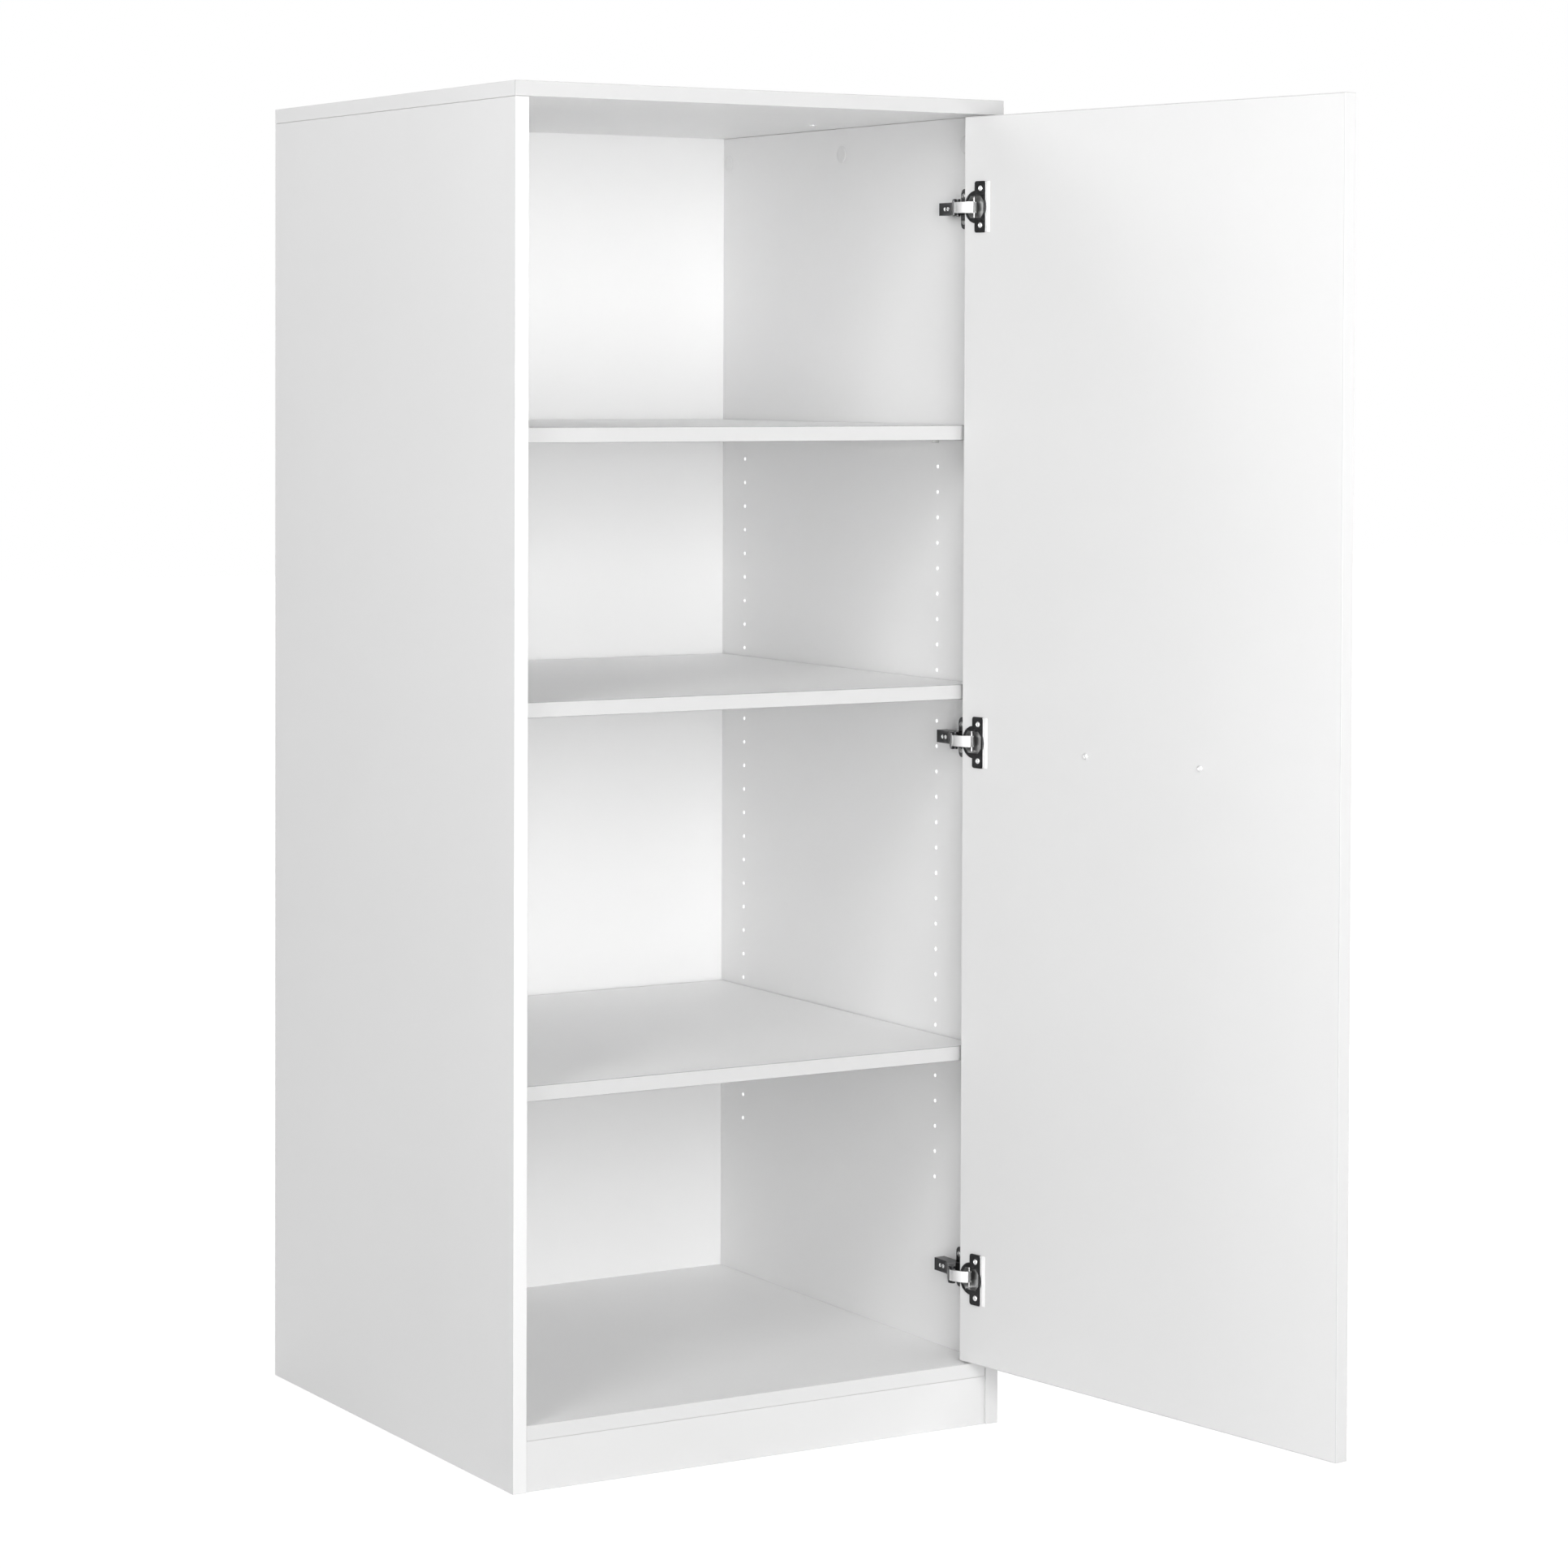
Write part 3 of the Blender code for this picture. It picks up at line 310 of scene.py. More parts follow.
def make_band_line():
    """Edge bands: how deep a point lies from the board's ends on each axis, and a thin line where
    that depth is the band's thickness, on the axes that carry a band. The rim is the broken edge,
    where the depths on two axes add up to less than its width."""
    tree, given, out = new_group(
        "edge_band_line",
        [
            ("Vector", "Vector", (0, 0, 0)), ("Low", "Vector", (0, 0, 0)), ("High", "Vector", (1, 1, 1)),
            ("Bands", "Vector", (0, 1, 0)), ("Thickness", "Float", BAND), ("Line", "Float", BAND_LINE),
            ("Rim Width", "Float", RIM),
        ],
        ["Line", "Band", "Rim"],
    )
    above = vector_node(tree, "SUBTRACT", given["Vector"], given["Low"])["Vector"]
    below = vector_node(tree, "SUBTRACT", given["High"], given["Vector"])["Vector"]
    nearest = vector_node(tree, "MINIMUM", above, below)["Vector"]
    depth, bands = (tree.nodes.new("ShaderNodeSeparateXYZ") for _ in range(2))
    tree.links.new(nearest, depth.inputs[0])
    tree.links.new(given["Bands"], bands.inputs[0])
    half_line = math_node(tree, "MULTIPLY", given["Line"], 0.5)
    lines, faces, rims = [], [], []
    for axis in range(3):
        deep, banded = depth.outputs[axis], bands.outputs[axis]
        off = math_node(tree, "ABSOLUTE", math_node(tree, "SUBTRACT", deep, given["Thickness"]))
        near = math_node(tree, "LESS_THAN", off, half_line)
        lines.append(math_node(tree, "MULTIPLY", near, banded))
        inside = math_node(tree, "LESS_THAN", deep, given["Thickness"])
        faces.append(math_node(tree, "MULTIPLY", inside, banded))
    for first, second in ((0, 1), (1, 2), (0, 2)):
        both = math_node(tree, "ADD", depth.outputs[first], depth.outputs[second])
        rims.append(math_node(tree, "LESS_THAN", both, given["Rim Width"]))
    for found, label in ((lines, "Line"), (faces, "Band"), (rims, "Rim")):
        both = math_node(tree, "MAXIMUM", found[0], found[1])
        tree.links.new(math_node(tree, "MAXIMUM", both, found[2]), out.inputs[label])
    return tree


def make_scuffs():
    """Fine scratches and smudges of a plated or brushed metal: noise drawn out along one axis,
    and a soft cloud of handling marks."""
    tree, given, out = new_group(
        "metal_scuffs",
        [
            ("Vector", "Vector", (0, 0, 0)), ("Stretch", "Vector", (1, 1, 1)),
            ("Grain Scale", "Float", GRAIN_SCALE), ("Cloud Scale", "Float", CLOUD_SCALE),
        ],
        ["Grain", "Cloud"],
    )
    drawn = vector_node(tree, "MULTIPLY", given["Vector"], given["Stretch"])["Vector"]
    grain = noise(tree, drawn, given["Grain Scale"], RICH_DETAIL, GRAIN_ROUGH)
    cloud = noise(tree, given["Vector"], given["Cloud Scale"], RICH_DETAIL)
    tree.links.new(grain, out.inputs["Grain"])
    tree.links.new(cloud, out.inputs["Cloud"])
    return tree


PEEL = make_peel()
BAND_LINES = make_band_line()
SCUFFS = make_scuffs()


# Materials

def new_material(name):
    """A material with its tree, its Principled shader and Object coordinates."""
    made = bpy.data.materials.new(name)
    made.use_nodes = True
    tree = made.node_tree
    place = tree.nodes.new("ShaderNodeTexCoord").outputs["Object"]
    return made, tree, tree.nodes["Principled BSDF"], place


def use_group(tree, group, vector, **values):
    """The outputs of a node group in a material, with its own values."""
    node = tree.nodes.new("ShaderNodeGroup")
    node.node_tree = group
    tree.links.new(vector, node.inputs["Vector"])
    for label, value in values.items():
        node.inputs[label.replace("_", " ")].default_value = value
    return node.outputs


def spread(tree, value, low, high):
    """A noise's values spread over a range."""
    node = tree.nodes.new("ShaderNodeMapRange")
    numbers = {"From Min": NOISE_LOW, "From Max": NOISE_HIGH, "To Min": low, "To Max": high}
    for label, number in numbers.items():
        node.inputs[label].default_value = number
    tree.links.new(value, node.inputs["Value"])
    return node.outputs["Result"]


def bump(tree, height, distance, strength, shader):
    """A Bump node into the shader's normal."""
    node = tree.nodes.new("ShaderNodeBump")
    node.inputs["Distance"].default_value = distance
    node.inputs["Strength"].default_value = strength
    tree.links.new(height, node.inputs["Height"])
    tree.links.new(node.outputs["Normal"], shader.inputs["Normal"])


# Boards

WHITE = grey(0.90)
# The bands' greys are partly the band's own grey and partly painted shade, set darker or lighter board
# by board to how the lamps fall on each edge
BAND_DARK_SHADED = grey(0.59)
BAND_MIDDLE_SHADED = grey(0.68)
BAND_LEAST_SHADED = grey(0.79)
# Painted shade: the plinth, the door and the outer faces of the door and of the right side are the same
# melamine as WHITE, set darker where the lamps light them more strongly
PLINTH_SHADED_WHITE = grey(0.71)
DOOR_SHADED_WHITE = grey(0.81)
DOOR_OUTER_SHADED_WHITE = grey(0.64)
SIDE_OUTER_SHADED_WHITE = grey(0.80)
JOINT_GREY = grey(0.50)
# The rim's grey: partly a glue line, partly painted shade along the boards' edges
RIM_GLUE_AND_SHADE_GREY = grey(0.28)

# The axes that carry a band, and how strongly the grey of the broken edge shows, which is partly a glue
# line and partly painted shade
ALONG_Y = (0.0, 1.0, 0.0)
ALONG_X_AND_Z = (1.0, 0.0, 1.0)
NO_BAND = (0.0, 0.0, 0.0)
NO_RIM = 0.0
FAINT_RIM = 0.15
FULL_RIM = 1.0

# Each board: the axes of its bands, the whites of its faces and of its bands, which are partly painted
# shade, and its rim's strength
BOARD_FINISHES = {
    "top_panel": (ALONG_Y, WHITE, BAND_DARK_SHADED, FAINT_RIM),
    "bottom_panel": (ALONG_Y, WHITE, BAND_MIDDLE_SHADED, FAINT_RIM),
    "left_side": (ALONG_Y, WHITE, BAND_LEAST_SHADED, FAINT_RIM),
    "right_side": (ALONG_Y, WHITE, BAND_MIDDLE_SHADED, FAINT_RIM),
    "plinth": (NO_BAND, PLINTH_SHADED_WHITE, PLINTH_SHADED_WHITE, FAINT_RIM),
    "shelf_upper": (ALONG_Y, WHITE, BAND_DARK_SHADED, FULL_RIM),
    "shelf_middle": (ALONG_Y, WHITE, BAND_DARK_SHADED, FULL_RIM),
    "shelf_lower": (ALONG_Y, WHITE, BAND_DARK_SHADED, FULL_RIM),
}
DOOR_FINISHES = (ALONG_X_AND_Z, DOOR_SHADED_WHITE, BAND_MIDDLE_SHADED, NO_RIM)
# Outer faces set darker as painted shade: the face's normal in the board's axes, and its white
SIDE_OUTER = ((1.0, 0.0, 0.0), SIDE_OUTER_SHADED_WHITE)
DOOR_OUTER = ((0.0, -1.0, 0.0), DOOR_OUTER_SHADED_WHITE)

MELAMINE = {
    "scale": 700.0, "drift_scale": 3.0, "shade": (0.985, 1.0), "roughness": (0.40, 0.52),
    "line_depth": 0.8, "relief": 0.00005, "bump": 0.55,
}
HARDBOARD = {
    "scale": 260.0, "drift_scale": 2.0, "whites": (grey(0.905), grey(0.89)),
    "roughness": (0.46, 0.58), "relief": 0.00004, "bump": 0.4,
}


def turned_place(tree, place, angle):
    """Coordinates turned about the upright axis, so that a turned board lies along the axes."""
    node = tree.nodes.new("ShaderNodeMapping")
    node.vector_type = "TEXTURE"
    node.inputs["Rotation"].default_value = (0.0, 0.0, angle)
    tree.links.new(place, node.inputs["Vector"])
    return node.outputs["Vector"]


def beyond(tree, place, normal, level):
    """1 where a point lies further along a normal than a level, and 0 elsewhere."""
    height = vector_node(tree, "DOT_PRODUCT", place, normal)["Value"]
    return math_node(tree, "GREATER_THAN", height, level)


def melamine(name, low, high, finishes, angle=0.0, outer=None):
    """White melamine: orange peel, a slow drift of shade, the lines of the edge bands of a board between
    two corners, the bands' white and a grey rim, both partly painted shade, and a darker white on an
    outer face as painted shade."""
    made, tree, shader, place = new_material(name)
    bands, white, band_shaded_white, rim = finishes
    if angle:
        place = turned_place(tree, place, angle)
    peel = use_group(
        tree, PEEL, place, Scale=MELAMINE["scale"], Drift_Scale=MELAMINE["drift_scale"]
    )
    band = use_group(tree, BAND_LINES, place, Low=low, High=high, Bands=bands)
    shade = spread(tree, peel["Drift"], *MELAMINE["shade"])
    shades = tree.nodes.new("ShaderNodeCombineColor")
    for slot in shades.inputs:
        tree.links.new(shade, slot)
    if outer:
        normal, outer_shaded_white = outer
        middle = float(np.dot(normal, np.add(low, high)) / 2)
        white = mix_colour(tree, beyond(tree, place, normal, middle), white, outer_shaded_white)
    face = mix_colour(tree, 1.0, white, shades.outputs[0], "MULTIPLY")
    # The band's white: partly its own grey, partly painted shade
    banded = mix_colour(tree, band["Band"], face, band_shaded_white)
    lined = mix_colour(tree, band["Line"], banded, JOINT_GREY)
    # The rim: partly a glue line, partly painted shade
    broken = math_node(tree, "MULTIPLY", band["Rim"], rim)
    tree.links.new(mix_colour(tree, broken, lined, RIM_GLUE_AND_SHADE_GREY), shader.inputs["Base Color"])
    roughness = spread(tree, peel["Height"], *MELAMINE["roughness"])
    tree.links.new(roughness, shader.inputs["Roughness"])
    groove = math_node(tree, "MULTIPLY", band["Line"], MELAMINE["line_depth"])
    height = math_node(tree, "SUBTRACT", peel["Height"], groove)
    bump(tree, height, MELAMINE["relief"], MELAMINE["bump"], shader)
    return made


def hardboard():
    """Smooth painted hardboard: a faint fibre swell."""
    made, tree, shader, place = new_material("painted_hardboard")
    peel = use_group(
        tree, PEEL, place, Scale=HARDBOARD["scale"], Drift_Scale=HARDBOARD["drift_scale"]
    )
    white = mix_colour(tree, peel["Drift"], *HARDBOARD["whites"])
    tree.links.new(white, shader.inputs["Base Color"])
    roughness = spread(tree, peel["Height"], *HARDBOARD["roughness"])
    tree.links.new(roughness, shader.inputs["Roughness"])
    bump(tree, peel["Height"], HARDBOARD["relief"], HARDBOARD["bump"], shader)
    return made


def finish(node, material):
    """Gives a CAD node its material."""
    mesh = NODES[node].data
    mesh.materials.clear()
    mesh.materials.append(material)


def corners(node):
    """The corner points of a CAD node as an array."""
    mesh = NODES[node].data
    points = np.empty(len(mesh.vertices) * 3, np.float32)
    mesh.vertices.foreach_get("co", points)
    return np.unique(np.round(points.reshape(-1, 3).astype(float), 6), axis=0)


def door_box():
    """The low and high corners of the door in its own axes, which are turned by the door's angle A
    from the carcass's: (x cos A + y sin A, y cos A - x sin A, z)."""
    x, y, z = corners("door").T
    cosine, sine = math.cos(DOOR_ANGLE), math.sin(DOOR_ANGLE)
    turned = np.stack((x * cosine + y * sine, y * cosine - x * sine, z))
    return tuple(turned.min(axis=1).tolist()), tuple(turned.max(axis=1).tolist())


def finish_boards():
    """Every board in white melamine, the door's pattern turned with the door, and the back in
    painted hardboard."""
    for node, finishes in BOARD_FINISHES.items():
        low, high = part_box(node)
        # The right side's outer face gets a darker white as painted shade
        outer = SIDE_OUTER if node == "right_side" else None
        finish(node, melamine(f"melamine_{node}", tuple(low), tuple(high), finishes, outer=outer))
    low, high = door_box()
    finish("door", melamine("melamine_door", low, high, DOOR_FINISHES, DOOR_ANGLE, DOOR_OUTER))
    finish("back_panel", hardboard())


# Metals and plastic

METAL = {"cloud": 1.25, "relief": 0.00002, "bump": 0.4}
PLASTIC = {
    "scale": 2200.0, "drift_scale": 40.0, "shade": 0.96, "rougher": 0.12, "relief": 0.00003, "bump": 0.4,
}
# Painted light: how strongly the hole linings and the flange seats glow, though they are no lamps
LINING_PAINTED_GLOW = 0.30
SEAT_PAINTED_GLOW = 0.12
ALONG_BAR = (0.05, 0.05, 1.0)


def tinted(colour, factor):
    """A colour made brighter or darker, up to white."""
    return tuple(min(1.0, c * factor) for c in colour[:3]) + (1.0,)


def metal(name, colour, roughness, stretch=(1.0, 1.0, 1.0), worn=0.10):
    """Plated, cast or brushed metal: grain in its gloss and surface, and clouds of handling."""
    made, tree, shader, place = new_material(name)
    scuffs = use_group(tree, SCUFFS, place, Stretch=stretch)
    shader.inputs["Metallic"].default_value = 1.0
    clouded = mix_colour(tree, scuffs["Cloud"], colour, tinted(colour, METAL["cloud"]))
    tree.links.new(clouded, shader.inputs["Base Color"])
    gloss = spread(tree, scuffs["Grain"], roughness, roughness + worn)
    tree.links.new(gloss, shader.inputs["Roughness"])
    bump(tree, scuffs["Grain"], METAL["relief"], METAL["bump"], shader)
    return made


def plastic(name, colour, roughness, glow=0.0):
    """Moulded plastic: a fine spark-eroded grain, and a glow of painted light where one is given."""
    made, tree, shader, place = new_material(name)
    peel = use_group(tree, PEEL, place, Scale=PLASTIC["scale"], Drift_Scale=PLASTIC["drift_scale"])
    drifting = mix_colour(tree, peel["Drift"], colour, tinted(colour, PLASTIC["shade"]))
    tree.links.new(drifting, shader.inputs["Base Color"])
    gloss = spread(tree, peel["Height"], roughness, roughness + PLASTIC["rougher"])
    tree.links.new(gloss, shader.inputs["Roughness"])
    bump(tree, peel["Height"], PLASTIC["relief"], PLASTIC["bump"], shader)
    # A glow of painted light, where one is given
    shader.inputs["Emission Color"].default_value = grey(1.0)
    shader.inputs["Emission Strength"].default_value = glow
    return made


CUP_STEEL = metal("dark_nickel_cup", (0.060, 0.060, 0.062, 1.0), 0.24)
WELL_STEEL = metal("nickel_cup_well", grey(0.38), 0.30)
# Painted highlight: a bright metal for the flange's front edge
CUP_EDGE_PAINTED_HIGHLIGHT = metal("cup_edge_painted_highlight", grey(0.92), 0.30)
ARM_STEEL = metal("dark_nickel_arm", (0.048, 0.048, 0.050, 1.0), 0.26)
PLATE_ZINC = metal("dark_nickel_zinc", (0.075, 0.075, 0.077, 1.0), 0.34, worn=0.14)
LINK_STEEL = metal("bright_nickel_link", grey(0.86), 0.34)
SCREW_STEEL = metal("bright_zinc_screw", grey(0.78), 0.20)
CEILING_STEEL = metal("polished_ceiling_screw", grey(0.97), 0.16)
PLATE_SCREW_STEEL = metal("nickel_plate_screw", grey(0.42), 0.24)
BAR_STEEL = metal("brushed_bar_steel", (0.45, 0.45, 0.445, 1.0), 0.26, stretch=ALONG_BAR)
PIN_NICKEL = metal("nickel_pin", (0.62, 0.62, 0.61, 1.0), 0.18)
CAP_PLASTIC = plastic("white_cap_plastic", grey(0.84), 0.38)
LINING_PLASTIC_PAINTED_GLOW = plastic("white_hole_lining_painted_glow", grey(0.96), 0.34, LINING_PAINTED_GLOW)
SEAT_PAINTED_HIGHLIGHT = plastic("white_flange_seat", grey(0.96), 0.30, SEAT_PAINTED_GLOW)


# Pieces

# Distances within which points become one, the angles in degrees from which an edge is sharp, and
# the angle up to which neighbouring faces are merged
WELD = 0.000002
CAD_WELD = 0.000004
SHARP_ANGLE = 35.0
HINGE_SHARP_ANGLE = 28.0
FLAT_ANGLE = 0.5
# A direction closer to upright than this dot product takes its side from the east
STEEP = 0.9
LATHE_SIDES = 56


def dressed(name, mesh, material, sharp):
    """An object with one material, shaded smoothly up to an angle."""
    mesh.materials.clear()
    mesh.materials.append(material)
    mesh.shade_smooth()
    mesh.set_sharp_from_angle(angle=math.radians(sharp))
    return add_object(name, mesh)


def surface(name, points, material):
    """A mesh over grids of points (..., rows, columns, 3), the last column of each joined to its
    first. Points that lie on one another become one, and the faces are turned outwards."""
    index = np.arange(points[..., 0].size).reshape(points.shape[:-1])
    further = np.roll(index, -1, axis=-1)
    sides = (index[..., :-1, :], further[..., :-1, :], further[..., 1:, :], index[..., 1:, :])
    faces = np.stack(sides, axis=-1).reshape(-1, 4)
    mesh = bpy.data.meshes.new(name)
    mesh.from_pydata(points.reshape(-1, 3).tolist(), [], faces.tolist())
    bm = bmesh.new()
    bm.from_mesh(mesh)
    bmesh.ops.remove_doubles(bm, verts=bm.verts, dist=WELD)
    bmesh.ops.recalc_face_normals(bm, faces=bm.faces)
    bm.to_mesh(mesh)
    bm.free()
    return dressed(name, mesh, material, SHARP_ANGLE)


def stand_for(made, node, body):
    """The piece rides on a body and stands for a CAD node."""
    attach(made, body)
    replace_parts(made, node)
    return made


def frame_at(direction):
    """Two axes square to a direction, and the direction."""
    along = np.asarray(direction, float)
    across = np.cross(UP if abs(along @ UP) < STEEP else EAST, along)
    across /= np.linalg.norm(across)
    return across, np.cross(along, across), along


def turned_axis(node, direction):
    """The axis point of a turned CAD node, and how far it reaches back and forth along a direction."""
    points = corners(node)
    centre = points.mean(0)
    reach = (points - centre) @ direction
    return centre, float(reach.min()), float(reach.max())


def rings(base, direction, profile, count):
    """Each profile point (radius, level) carried round an axis: base + level * direction + radius *
    (cos a * across + sin a * upward), for a in even steps. The base may be one point or many."""
    across, upward, along = frame_at(direction)
    radius, level = np.asarray(profile, float).T
    angle = np.linspace(0.0, 2 * math.pi, count, endpoint=False)
    circle = np.cos(angle)[:, None] * across + np.sin(angle)[:, None] * upward
    ring = level[:, None, None] * along + radius[:, None, None] * circle
    return np.asarray(base, float)[..., None, None, :] + ring


def lathe(name, node, direction, profile, material):
    """A turned piece of the carcass on the axis of a CAD node. Its profile's levels are counted from
    the node's front end."""
    centre, _, front = turned_axis(node, direction)
    base = centre + np.asarray(direction) * front
    made = surface(name, rings(base, direction, profile, LATHE_SIDES), material)
    return stand_for(made, node, "carcass")


# Screws

# The diameter and height of each head, and the diameter of the shank
SMALL_SCREW = (0.0070, 0.0020, 0.0035)
HANDLE_SCREW = (0.0080, 0.0024, 0.0040)
ADJUSTING_SCREW = (0.0054, 0.0010, 0.0038)
CEILING_SCREW = (0.0085, 0.0030, 0.0030)

# A cross recess and the dome of a head, as shares of the head's diameter and height, the side of the
# head as (share of radius, share of height), and the steps of its face
RECESS = {"arm": 0.085, "reach": 0.30, "wall": 0.035, "tip": 0.06, "depth": 0.75, "rise": 0.35}
DOME = {"fall": 0.42, "rim_fall": 0.40, "rim_power": 8, "ring_power": 0.9}
HEAD_SIDE = ((1.0, 0.10), (0.985, 0.0))
CROSS_ANGLES = 72
CROSS_RINGS = 30

# The ceiling screw's place in x and y. The adjusting heads: how far the arm's top stands off the
# side, how far they lie behind the closed door's face, how far apart, and how proud of the arm
CEILING_SCREW_PLACE = (0.2455, 0.292)
ARM_TOP = 0.0185
ADJUSTER_PLACE = 0.055
ADJUSTER_SPACING = 0.0068
ADJUSTER_PROUD = 0.0004


def cross_screw(name, seat, direction, sizes, length, material, body):
    """A pan-head screw with a cross recess. Its face is a dome over rings and angles, whose height is
    h (1 - fall s^2 - rim_fall s^rim_power) at the share s of the radius. It is lowered inside a cross
    whose arms end in walls and grow shallower outwards. The profile then runs down the head's side
    and the shank."""
    across, upward, along = frame_at(direction)
    head, height, shank = sizes
    ring = np.linspace(0.0, 1.0, CROSS_RINGS) ** DOME["ring_power"]
    angle = np.linspace(0.0, 2 * math.pi, CROSS_ANGLES, endpoint=False)
    r, a = np.meshgrid(ring * head / 2, angle, indexing="ij")
    x, y = r * np.cos(a), r * np.sin(a)
    share = 2 * r / head
    dome = height * (1.0 - DOME["fall"] * share ** 2 - DOME["rim_fall"] * share ** DOME["rim_power"])
    narrow, wide = np.minimum(np.abs(x), np.abs(y)), np.maximum(np.abs(x), np.abs(y))
    side = np.clip((RECESS["arm"] * head - narrow) / (RECESS["wall"] * head), 0.0, 1.0)
    tip = np.clip((RECESS["reach"] * head - wide) / (RECESS["tip"] * head), 0.0, 1.0)
    slope = 1.0 - RECESS["rise"] * wide / (RECESS["reach"] * head)
    top = np.stack((x, y, dome - RECESS["depth"] * height * side * tip * slope), axis=-1)
    face = seat + top[..., :1] * across + top[..., 1:2] * upward + top[..., 2:] * along
    foot = [(head / 2 * out, height * up) for out, up in HEAD_SIDE]
    foot += [(shank / 2, 0.0), (shank / 2, shank / 2 - length), (0.0, -length)]
    points = np.concatenate((face, rings(seat, direction, foot, CROSS_ANGLES)), axis=0)
    made = surface(name, points, material)
    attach(made, body)
    return made


def cross_screw_at(name, node, direction, sizes, material, body):
    """A cross-recessed screw in the place of a CAD node."""
    centre, back, front = turned_axis(node, direction)
    seat = centre + np.asarray(direction) * (front - sizes[1])
    length = front - sizes[1] - back
    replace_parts(cross_screw(name, seat, direction, sizes, length, material, body), node)


def make_screws():
    """All screws with cross recesses: cups, mounting plates, handle, hinge adjusters and ceiling."""
    adjuster_x = INNER_X - ARM_TOP - ADJUSTER_PROUD + ADJUSTING_SCREW[1]
    for at in HEIGHTS:
        for end in ("upper", "lower"):
            key = f"{at}_{end}"
            cross_screw_at(
                f"cup_cross_screw_{key}", f"cup_screw_{key}", DOOR_IN, SMALL_SCREW, SCREW_STEEL, "door"
            )
            cross_screw_at(
                f"plate_cross_screw_{key}", f"plate_screw_{key}", INWARD, SMALL_SCREW,
                PLATE_SCREW_STEEL, "carcass",
            )
        low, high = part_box(f"hinge_arm_{at}")
        for end, shift in (("front", -0.5), ("rear", 0.5)):
            y = DOOR_FACE_Y + ADJUSTER_PLACE + shift * ADJUSTER_SPACING
            seat = np.array((adjuster_x, y, (low[2] + high[2]) / 2))
            cross_screw(
                f"adjusting_screw_{at}_{end}", seat, INWARD, ADJUSTING_SCREW, ADJUSTING_SCREW[2],
                SCREW_STEEL, "carcass",
            )
    for hand in HANDS:
        cross_screw_at(
            f"handle_cross_screw_{hand}", f"handle_screw_{hand}", DOOR_IN, HANDLE_SCREW, SCREW_STEEL,
            "door",
        )
    seat = np.array((*CEILING_SCREW_PLACE, CEILING))
    cross_screw(
        "ceiling_screw", seat, DOWN, CEILING_SCREW, CEILING_SCREW[2], CEILING_STEEL, "carcass"
    )


# Fittings

# Rows of shelf holes, as in the solids' source: pitch, lowest hole, number, how far the rows lie
# behind the carcass's front, and the holes that hold shelf pins
HOLE_PITCH = 0.032
LOWEST_HOLE = 0.289
HOLE_COUNT = 30
HOLE_ROWS = (0.118, 0.598)
PIN_HOLES = (5, 19, 29)
LINING_SIDES = 14

# Turned profiles as (radius, level): a hole's lining, a cam cap and a shelf pin. Level 0 is the
# board's face for the lining and the piece's front for the others, and lower levels lie behind it
LINING = (
    (0.00256, 0.00002), (0.00251, 0.00012), (0.00240, 0.00016), (0.00225, 0.00004), (0.00205, -0.0005),
    (0.00205, -0.0090), (0.00218, -0.0090), (0.00225, -0.0001), (0.00256, 0.00002),
)
CAP = (
    (0.0, 0.0), (0.0060, -0.00001), (0.0086, -0.00006), (0.0098, -0.00020), (0.0106, -0.00048),
    (0.0110, -0.00090), (0.0110, -0.0012), (0.0075, -0.0012), (0.0075, -0.0137), (0.0, -0.0137),
)
PIN = (
    (0.0, 0.0), (0.0010, -0.00004), (0.0017, -0.00022), (0.0022, -0.00058), (0.0025, -0.0011),
    (0.0025, -0.0080), (0.0022, -0.0082), (0.0022, -0.0162), (0.0014, -0.0170), (0.0, -0.0170),
)


def make_fittings():
    """Cam caps, shelf pins, and the linings of the free shelf holes, which glow with painted light."""
    free = np.array([i for i in range(HOLE_COUNT) if i not in PIN_HOLES])
    for hand, side in zip(HANDS, (-1.0, 1.0)):
        facing = np.array((-side, 0.0, 0.0))
        for row in ("front", "centre", "rear"):
            key = f"{hand}_{row}"
            lathe(f"cam_cap_{key}", f"cam_fitting_{key}", facing, CAP, CAP_PLASTIC)
        for row in ("front", "rear"):
            for shelf in ("upper", "middle", "lower"):
                key = f"{shelf}_{hand}_{row}"
                lathe(
                    f"nickel_pin_{key}", f"shelf_pin_{key}", facing, PIN, PIN_NICKEL,
                )
        rows, heights = np.meshgrid(FRONT_Y + np.array(HOLE_ROWS), LOWEST_HOLE + HOLE_PITCH * free)
        faces = np.full(rows.size, side * INNER_X)
        places = np.stack((faces, rows.ravel(), heights.ravel()), axis=-1)
        linings = rings(places, facing, LINING, LINING_SIDES)
        made = surface(f"hole_linings_{hand}", linings, LINING_PLASTIC_PAINTED_GLOW)
        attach(made, "carcass")


# Handle

HANDLE_BEND = 0.012
HANDLE_BEND_STEPS = 18
HANDLE_SIDES = 48
HANDLE_FOOT_ROUND = 0.0004


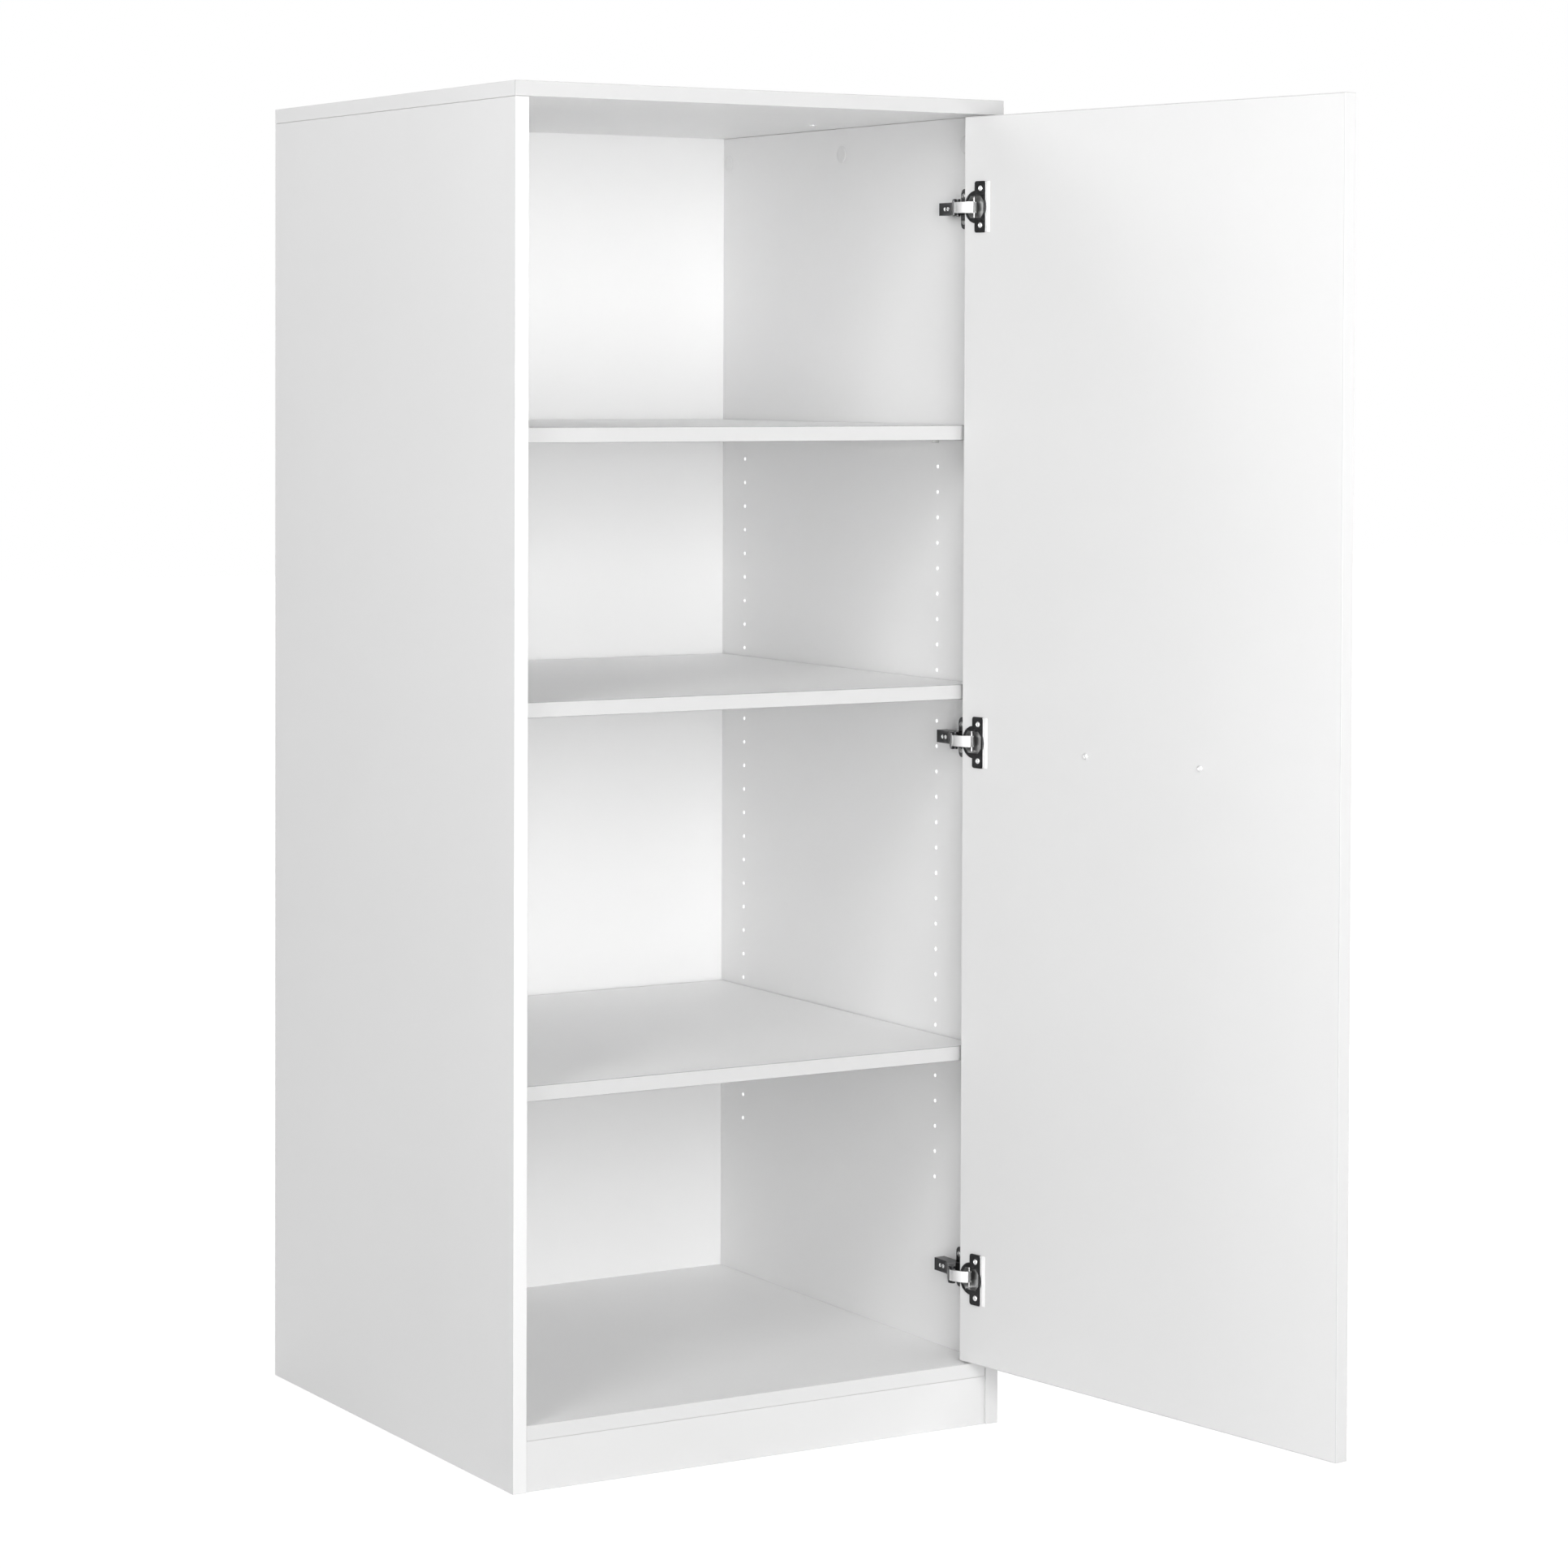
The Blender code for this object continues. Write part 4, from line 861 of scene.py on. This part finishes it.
def make_handle():
    """The bar handle: a circle carried along a path with two quarter bends, closed at its feet. Each
    ring is line + width * (cos a * normal + sin a * up), its normal square to the path's heading."""
    points = corners("handle")
    across, inwards = points @ DOOR_ALONG, points @ DOOR_IN
    radius = (points[:, 2].max() - points[:, 2].min()) / 2
    level = (points[:, 2].max() + points[:, 2].min()) / 2
    middle = (across.max() + across.min()) / 2
    half = (across.max() - across.min()) / 2 - radius
    foot, out = inwards.max(), inwards.min() + radius
    turn = np.linspace(0.0, math.pi / 2, HANDLE_BEND_STEPS)
    sine, cosine = np.sin(turn) * HANDLE_BEND, np.cos(turn) * HANDLE_BEND
    edge, centre = half - HANDLE_BEND, out + HANDLE_BEND
    step = HANDLE_FOOT_ROUND
    path = np.concatenate((
        [(-half, foot), (-half, foot), (-half, foot - step)],
        np.stack((-edge - cosine, centre - sine), axis=-1),
        np.stack((edge + sine, centre - cosine), axis=-1),
        [(half, foot - step), (half, foot), (half, foot)],
    ))
    heading = np.concatenate((
        [(0.0, -1.0)] * 3,
        np.stack((sine, -cosine), axis=-1) / HANDLE_BEND,
        np.stack((cosine, sine), axis=-1) / HANDLE_BEND,
        [(0.0, 1.0)] * 3,
    ))
    width = np.full(len(path), radius)
    width[[0, -1]] = 0.0
    width[[1, -2]] = radius - step
    angle = np.linspace(0.0, 2 * math.pi, HANDLE_SIDES, endpoint=False)
    normal = heading[:, 1:] * DOOR_ALONG - heading[:, :1] * DOOR_IN
    line = (middle + path[:, :1]) * DOOR_ALONG + path[:, 1:] * DOOR_IN + level * UP
    ring = np.cos(angle)[:, None] * normal[:, None] + np.sin(angle)[:, None] * UP
    made = surface("bar_handle", line[:, None] + width[:, None, None] * ring, BAR_STEEL)
    stand_for(made, "handle", "door")


# Hinges

# Edge rounds of the hinge steel and of the cups, and the segments of each
STEEL_ROUND = (0.0002, 2)
CUP_ROUND = (0.0003, 3)
# How far the inner links are drawn in, to clear the door through the whole swing
LINK_EASE = 0.00008
# How far a part of a cup stands above the door's face to belong to its flange, and how squarely a
# face looks away from the hinge to belong to the flange's front edge
DOOR_FACE_EASE = 0.0002
EDGE_FACING = 0.8
# A flange seat is a thin white glowing sheet, a painted highlight for the bright strip of light beside
# each flange: its reach beyond the flange, its thickness, the width of its broken top edge, and how
# much shorter than the flange it is at each end
SEAT_REACH = 0.0042
SEAT_THICKNESS = 0.0004
SEAT_EASE = 0.00015
SEAT_END = 0.0006


def refined(node, name, material, body, rounding=STEEL_ROUND, ease=0.0):
    """A copy of a CAD node with its triangles merged into faces and its edges rounded. Its surface may
    be drawn in by an ease, to leave room for a motion."""
    bm = bmesh.new()
    bm.from_mesh(NODES[node].data)
    bmesh.ops.remove_doubles(bm, verts=bm.verts, dist=CAD_WELD)
    bmesh.ops.dissolve_limit(
        bm, angle_limit=math.radians(FLAT_ANGLE), use_dissolve_boundaries=False, verts=bm.verts,
        edges=bm.edges,
    )
    clean = bpy.data.meshes.new(name)
    bm.to_mesh(clean)
    bm.free()
    made = dressed(name, clean, material, HINGE_SHARP_ANGLE)
    if ease:
        drawn_in = made.modifiers.new("room_for_motion", "DISPLACE")
        drawn_in.strength = -ease
        drawn_in.mid_level = 0.0
    rounded = made.modifiers.new("rounded_edges", "BEVEL")
    rounded.width, rounded.segments = rounding
    rounded.limit_method = "ANGLE"
    rounded.angle_limit = math.radians(HINGE_SHARP_ANGLE)
    rounded.harden_normals = True
    return stand_for(made, node, body)


def paint_cup(cup):
    """Gives the faces of a cup that lie deeper than the door's face the lighter metal of its well, and
    the flange's front edge a bright metal as a painted highlight."""
    mesh = cup.data
    mesh.materials.append(WELL_STEEL)
    mesh.materials.append(CUP_EDGE_PAINTED_HIGHLIGHT)
    centres, normals = (np.empty(len(mesh.polygons) * 3, np.float32) for _ in range(2))
    mesh.polygons.foreach_get("center", centres)
    mesh.polygons.foreach_get("normal", normals)
    centres, normals = centres.reshape(-1, 3), normals.reshape(-1, 3)
    face = (corners("door") @ DOOR_IN).max()
    deep = centres @ DOOR_IN < face + DOOR_FACE_EASE
    # The flange's front edge, brightened as a painted highlight
    edge = ~deep & (normals @ DOOR_ALONG > EDGE_FACING)
    chosen = np.where(deep, 1, np.where(edge, 2, 0)).astype(np.int32)
    mesh.polygons.foreach_set("material_index", chosen)


def make_painted_highlight_seat(at):
    """A thin white glowing seat beside a cup's flange, a painted highlight for the bright strip of light
    there: a rectangle that starts just under the flange's front edge, carried up from the door's face,
    and drawn in at its top to break the edge."""
    points = corners(f"hinge_cup_{at}")
    face = (corners("door") @ DOOR_IN).max()
    flange = points[points @ DOOR_IN > face + DOOR_FACE_EASE]
    front = (flange @ DOOR_ALONG).max()
    low, high = flange[:, 2].min() + SEAT_END, flange[:, 2].max() - SEAT_END

    def outline(inset):
        """The corners of the seat as (along, height), drawn in by an inset."""
        near, far = front - SEAT_EASE + inset, front + SEAT_REACH - inset
        return [(near, low + inset), (far, low + inset), (far, high - inset), (near, high - inset)]

    centre = [(front + SEAT_REACH / 2, (low + high) / 2)] * 4
    flat = np.array([centre, outline(0.0), outline(0.0), outline(SEAT_EASE), centre])
    rise = np.array([0.0, 0.0, SEAT_THICKNESS - SEAT_EASE, SEAT_THICKNESS, SEAT_THICKNESS])
    place = flat[..., :1] * DOOR_ALONG + (face + rise)[:, None, None] * DOOR_IN + flat[..., 1:] * UP
    made = surface(f"flange_painted_highlight_seat_{at}", place, SEAT_PAINTED_HIGHLIGHT)
    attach(made, "door")


def make_hinges():
    """The three hinges: cups, arms, plates and links with rounded edges."""
    for at in HEIGHTS:
        cup = refined(
            f"hinge_cup_{at}", f"plated_cup_{at}", CUP_STEEL, "door", CUP_ROUND
        )
        paint_cup(cup)
        # A white glowing sheet beside the flange as a painted highlight
        make_painted_highlight_seat(at)
        refined(
            f"hinge_arm_{at}", f"plated_arm_{at}", ARM_STEEL, "carcass"
        )
        refined(
            f"mounting_plate_{at}", f"cast_plate_{at}", PLATE_ZINC, "carcass"
        )
        refined(
            f"outer_link_{at}", f"bent_outer_link_{at}", LINK_STEEL, "outer_links",
        )
        refined(
            f"inner_link_{at}", f"bent_inner_link_{at}", LINK_STEEL, "inner_links",
            ease=LINK_EASE,
        )


make_camera()
make_lights()
make_world()
make_floor()
finish_boards()
make_fittings()
make_screws()
make_handle()
make_hinges()

bpy.context.scene.view_settings.view_transform = "Standard"
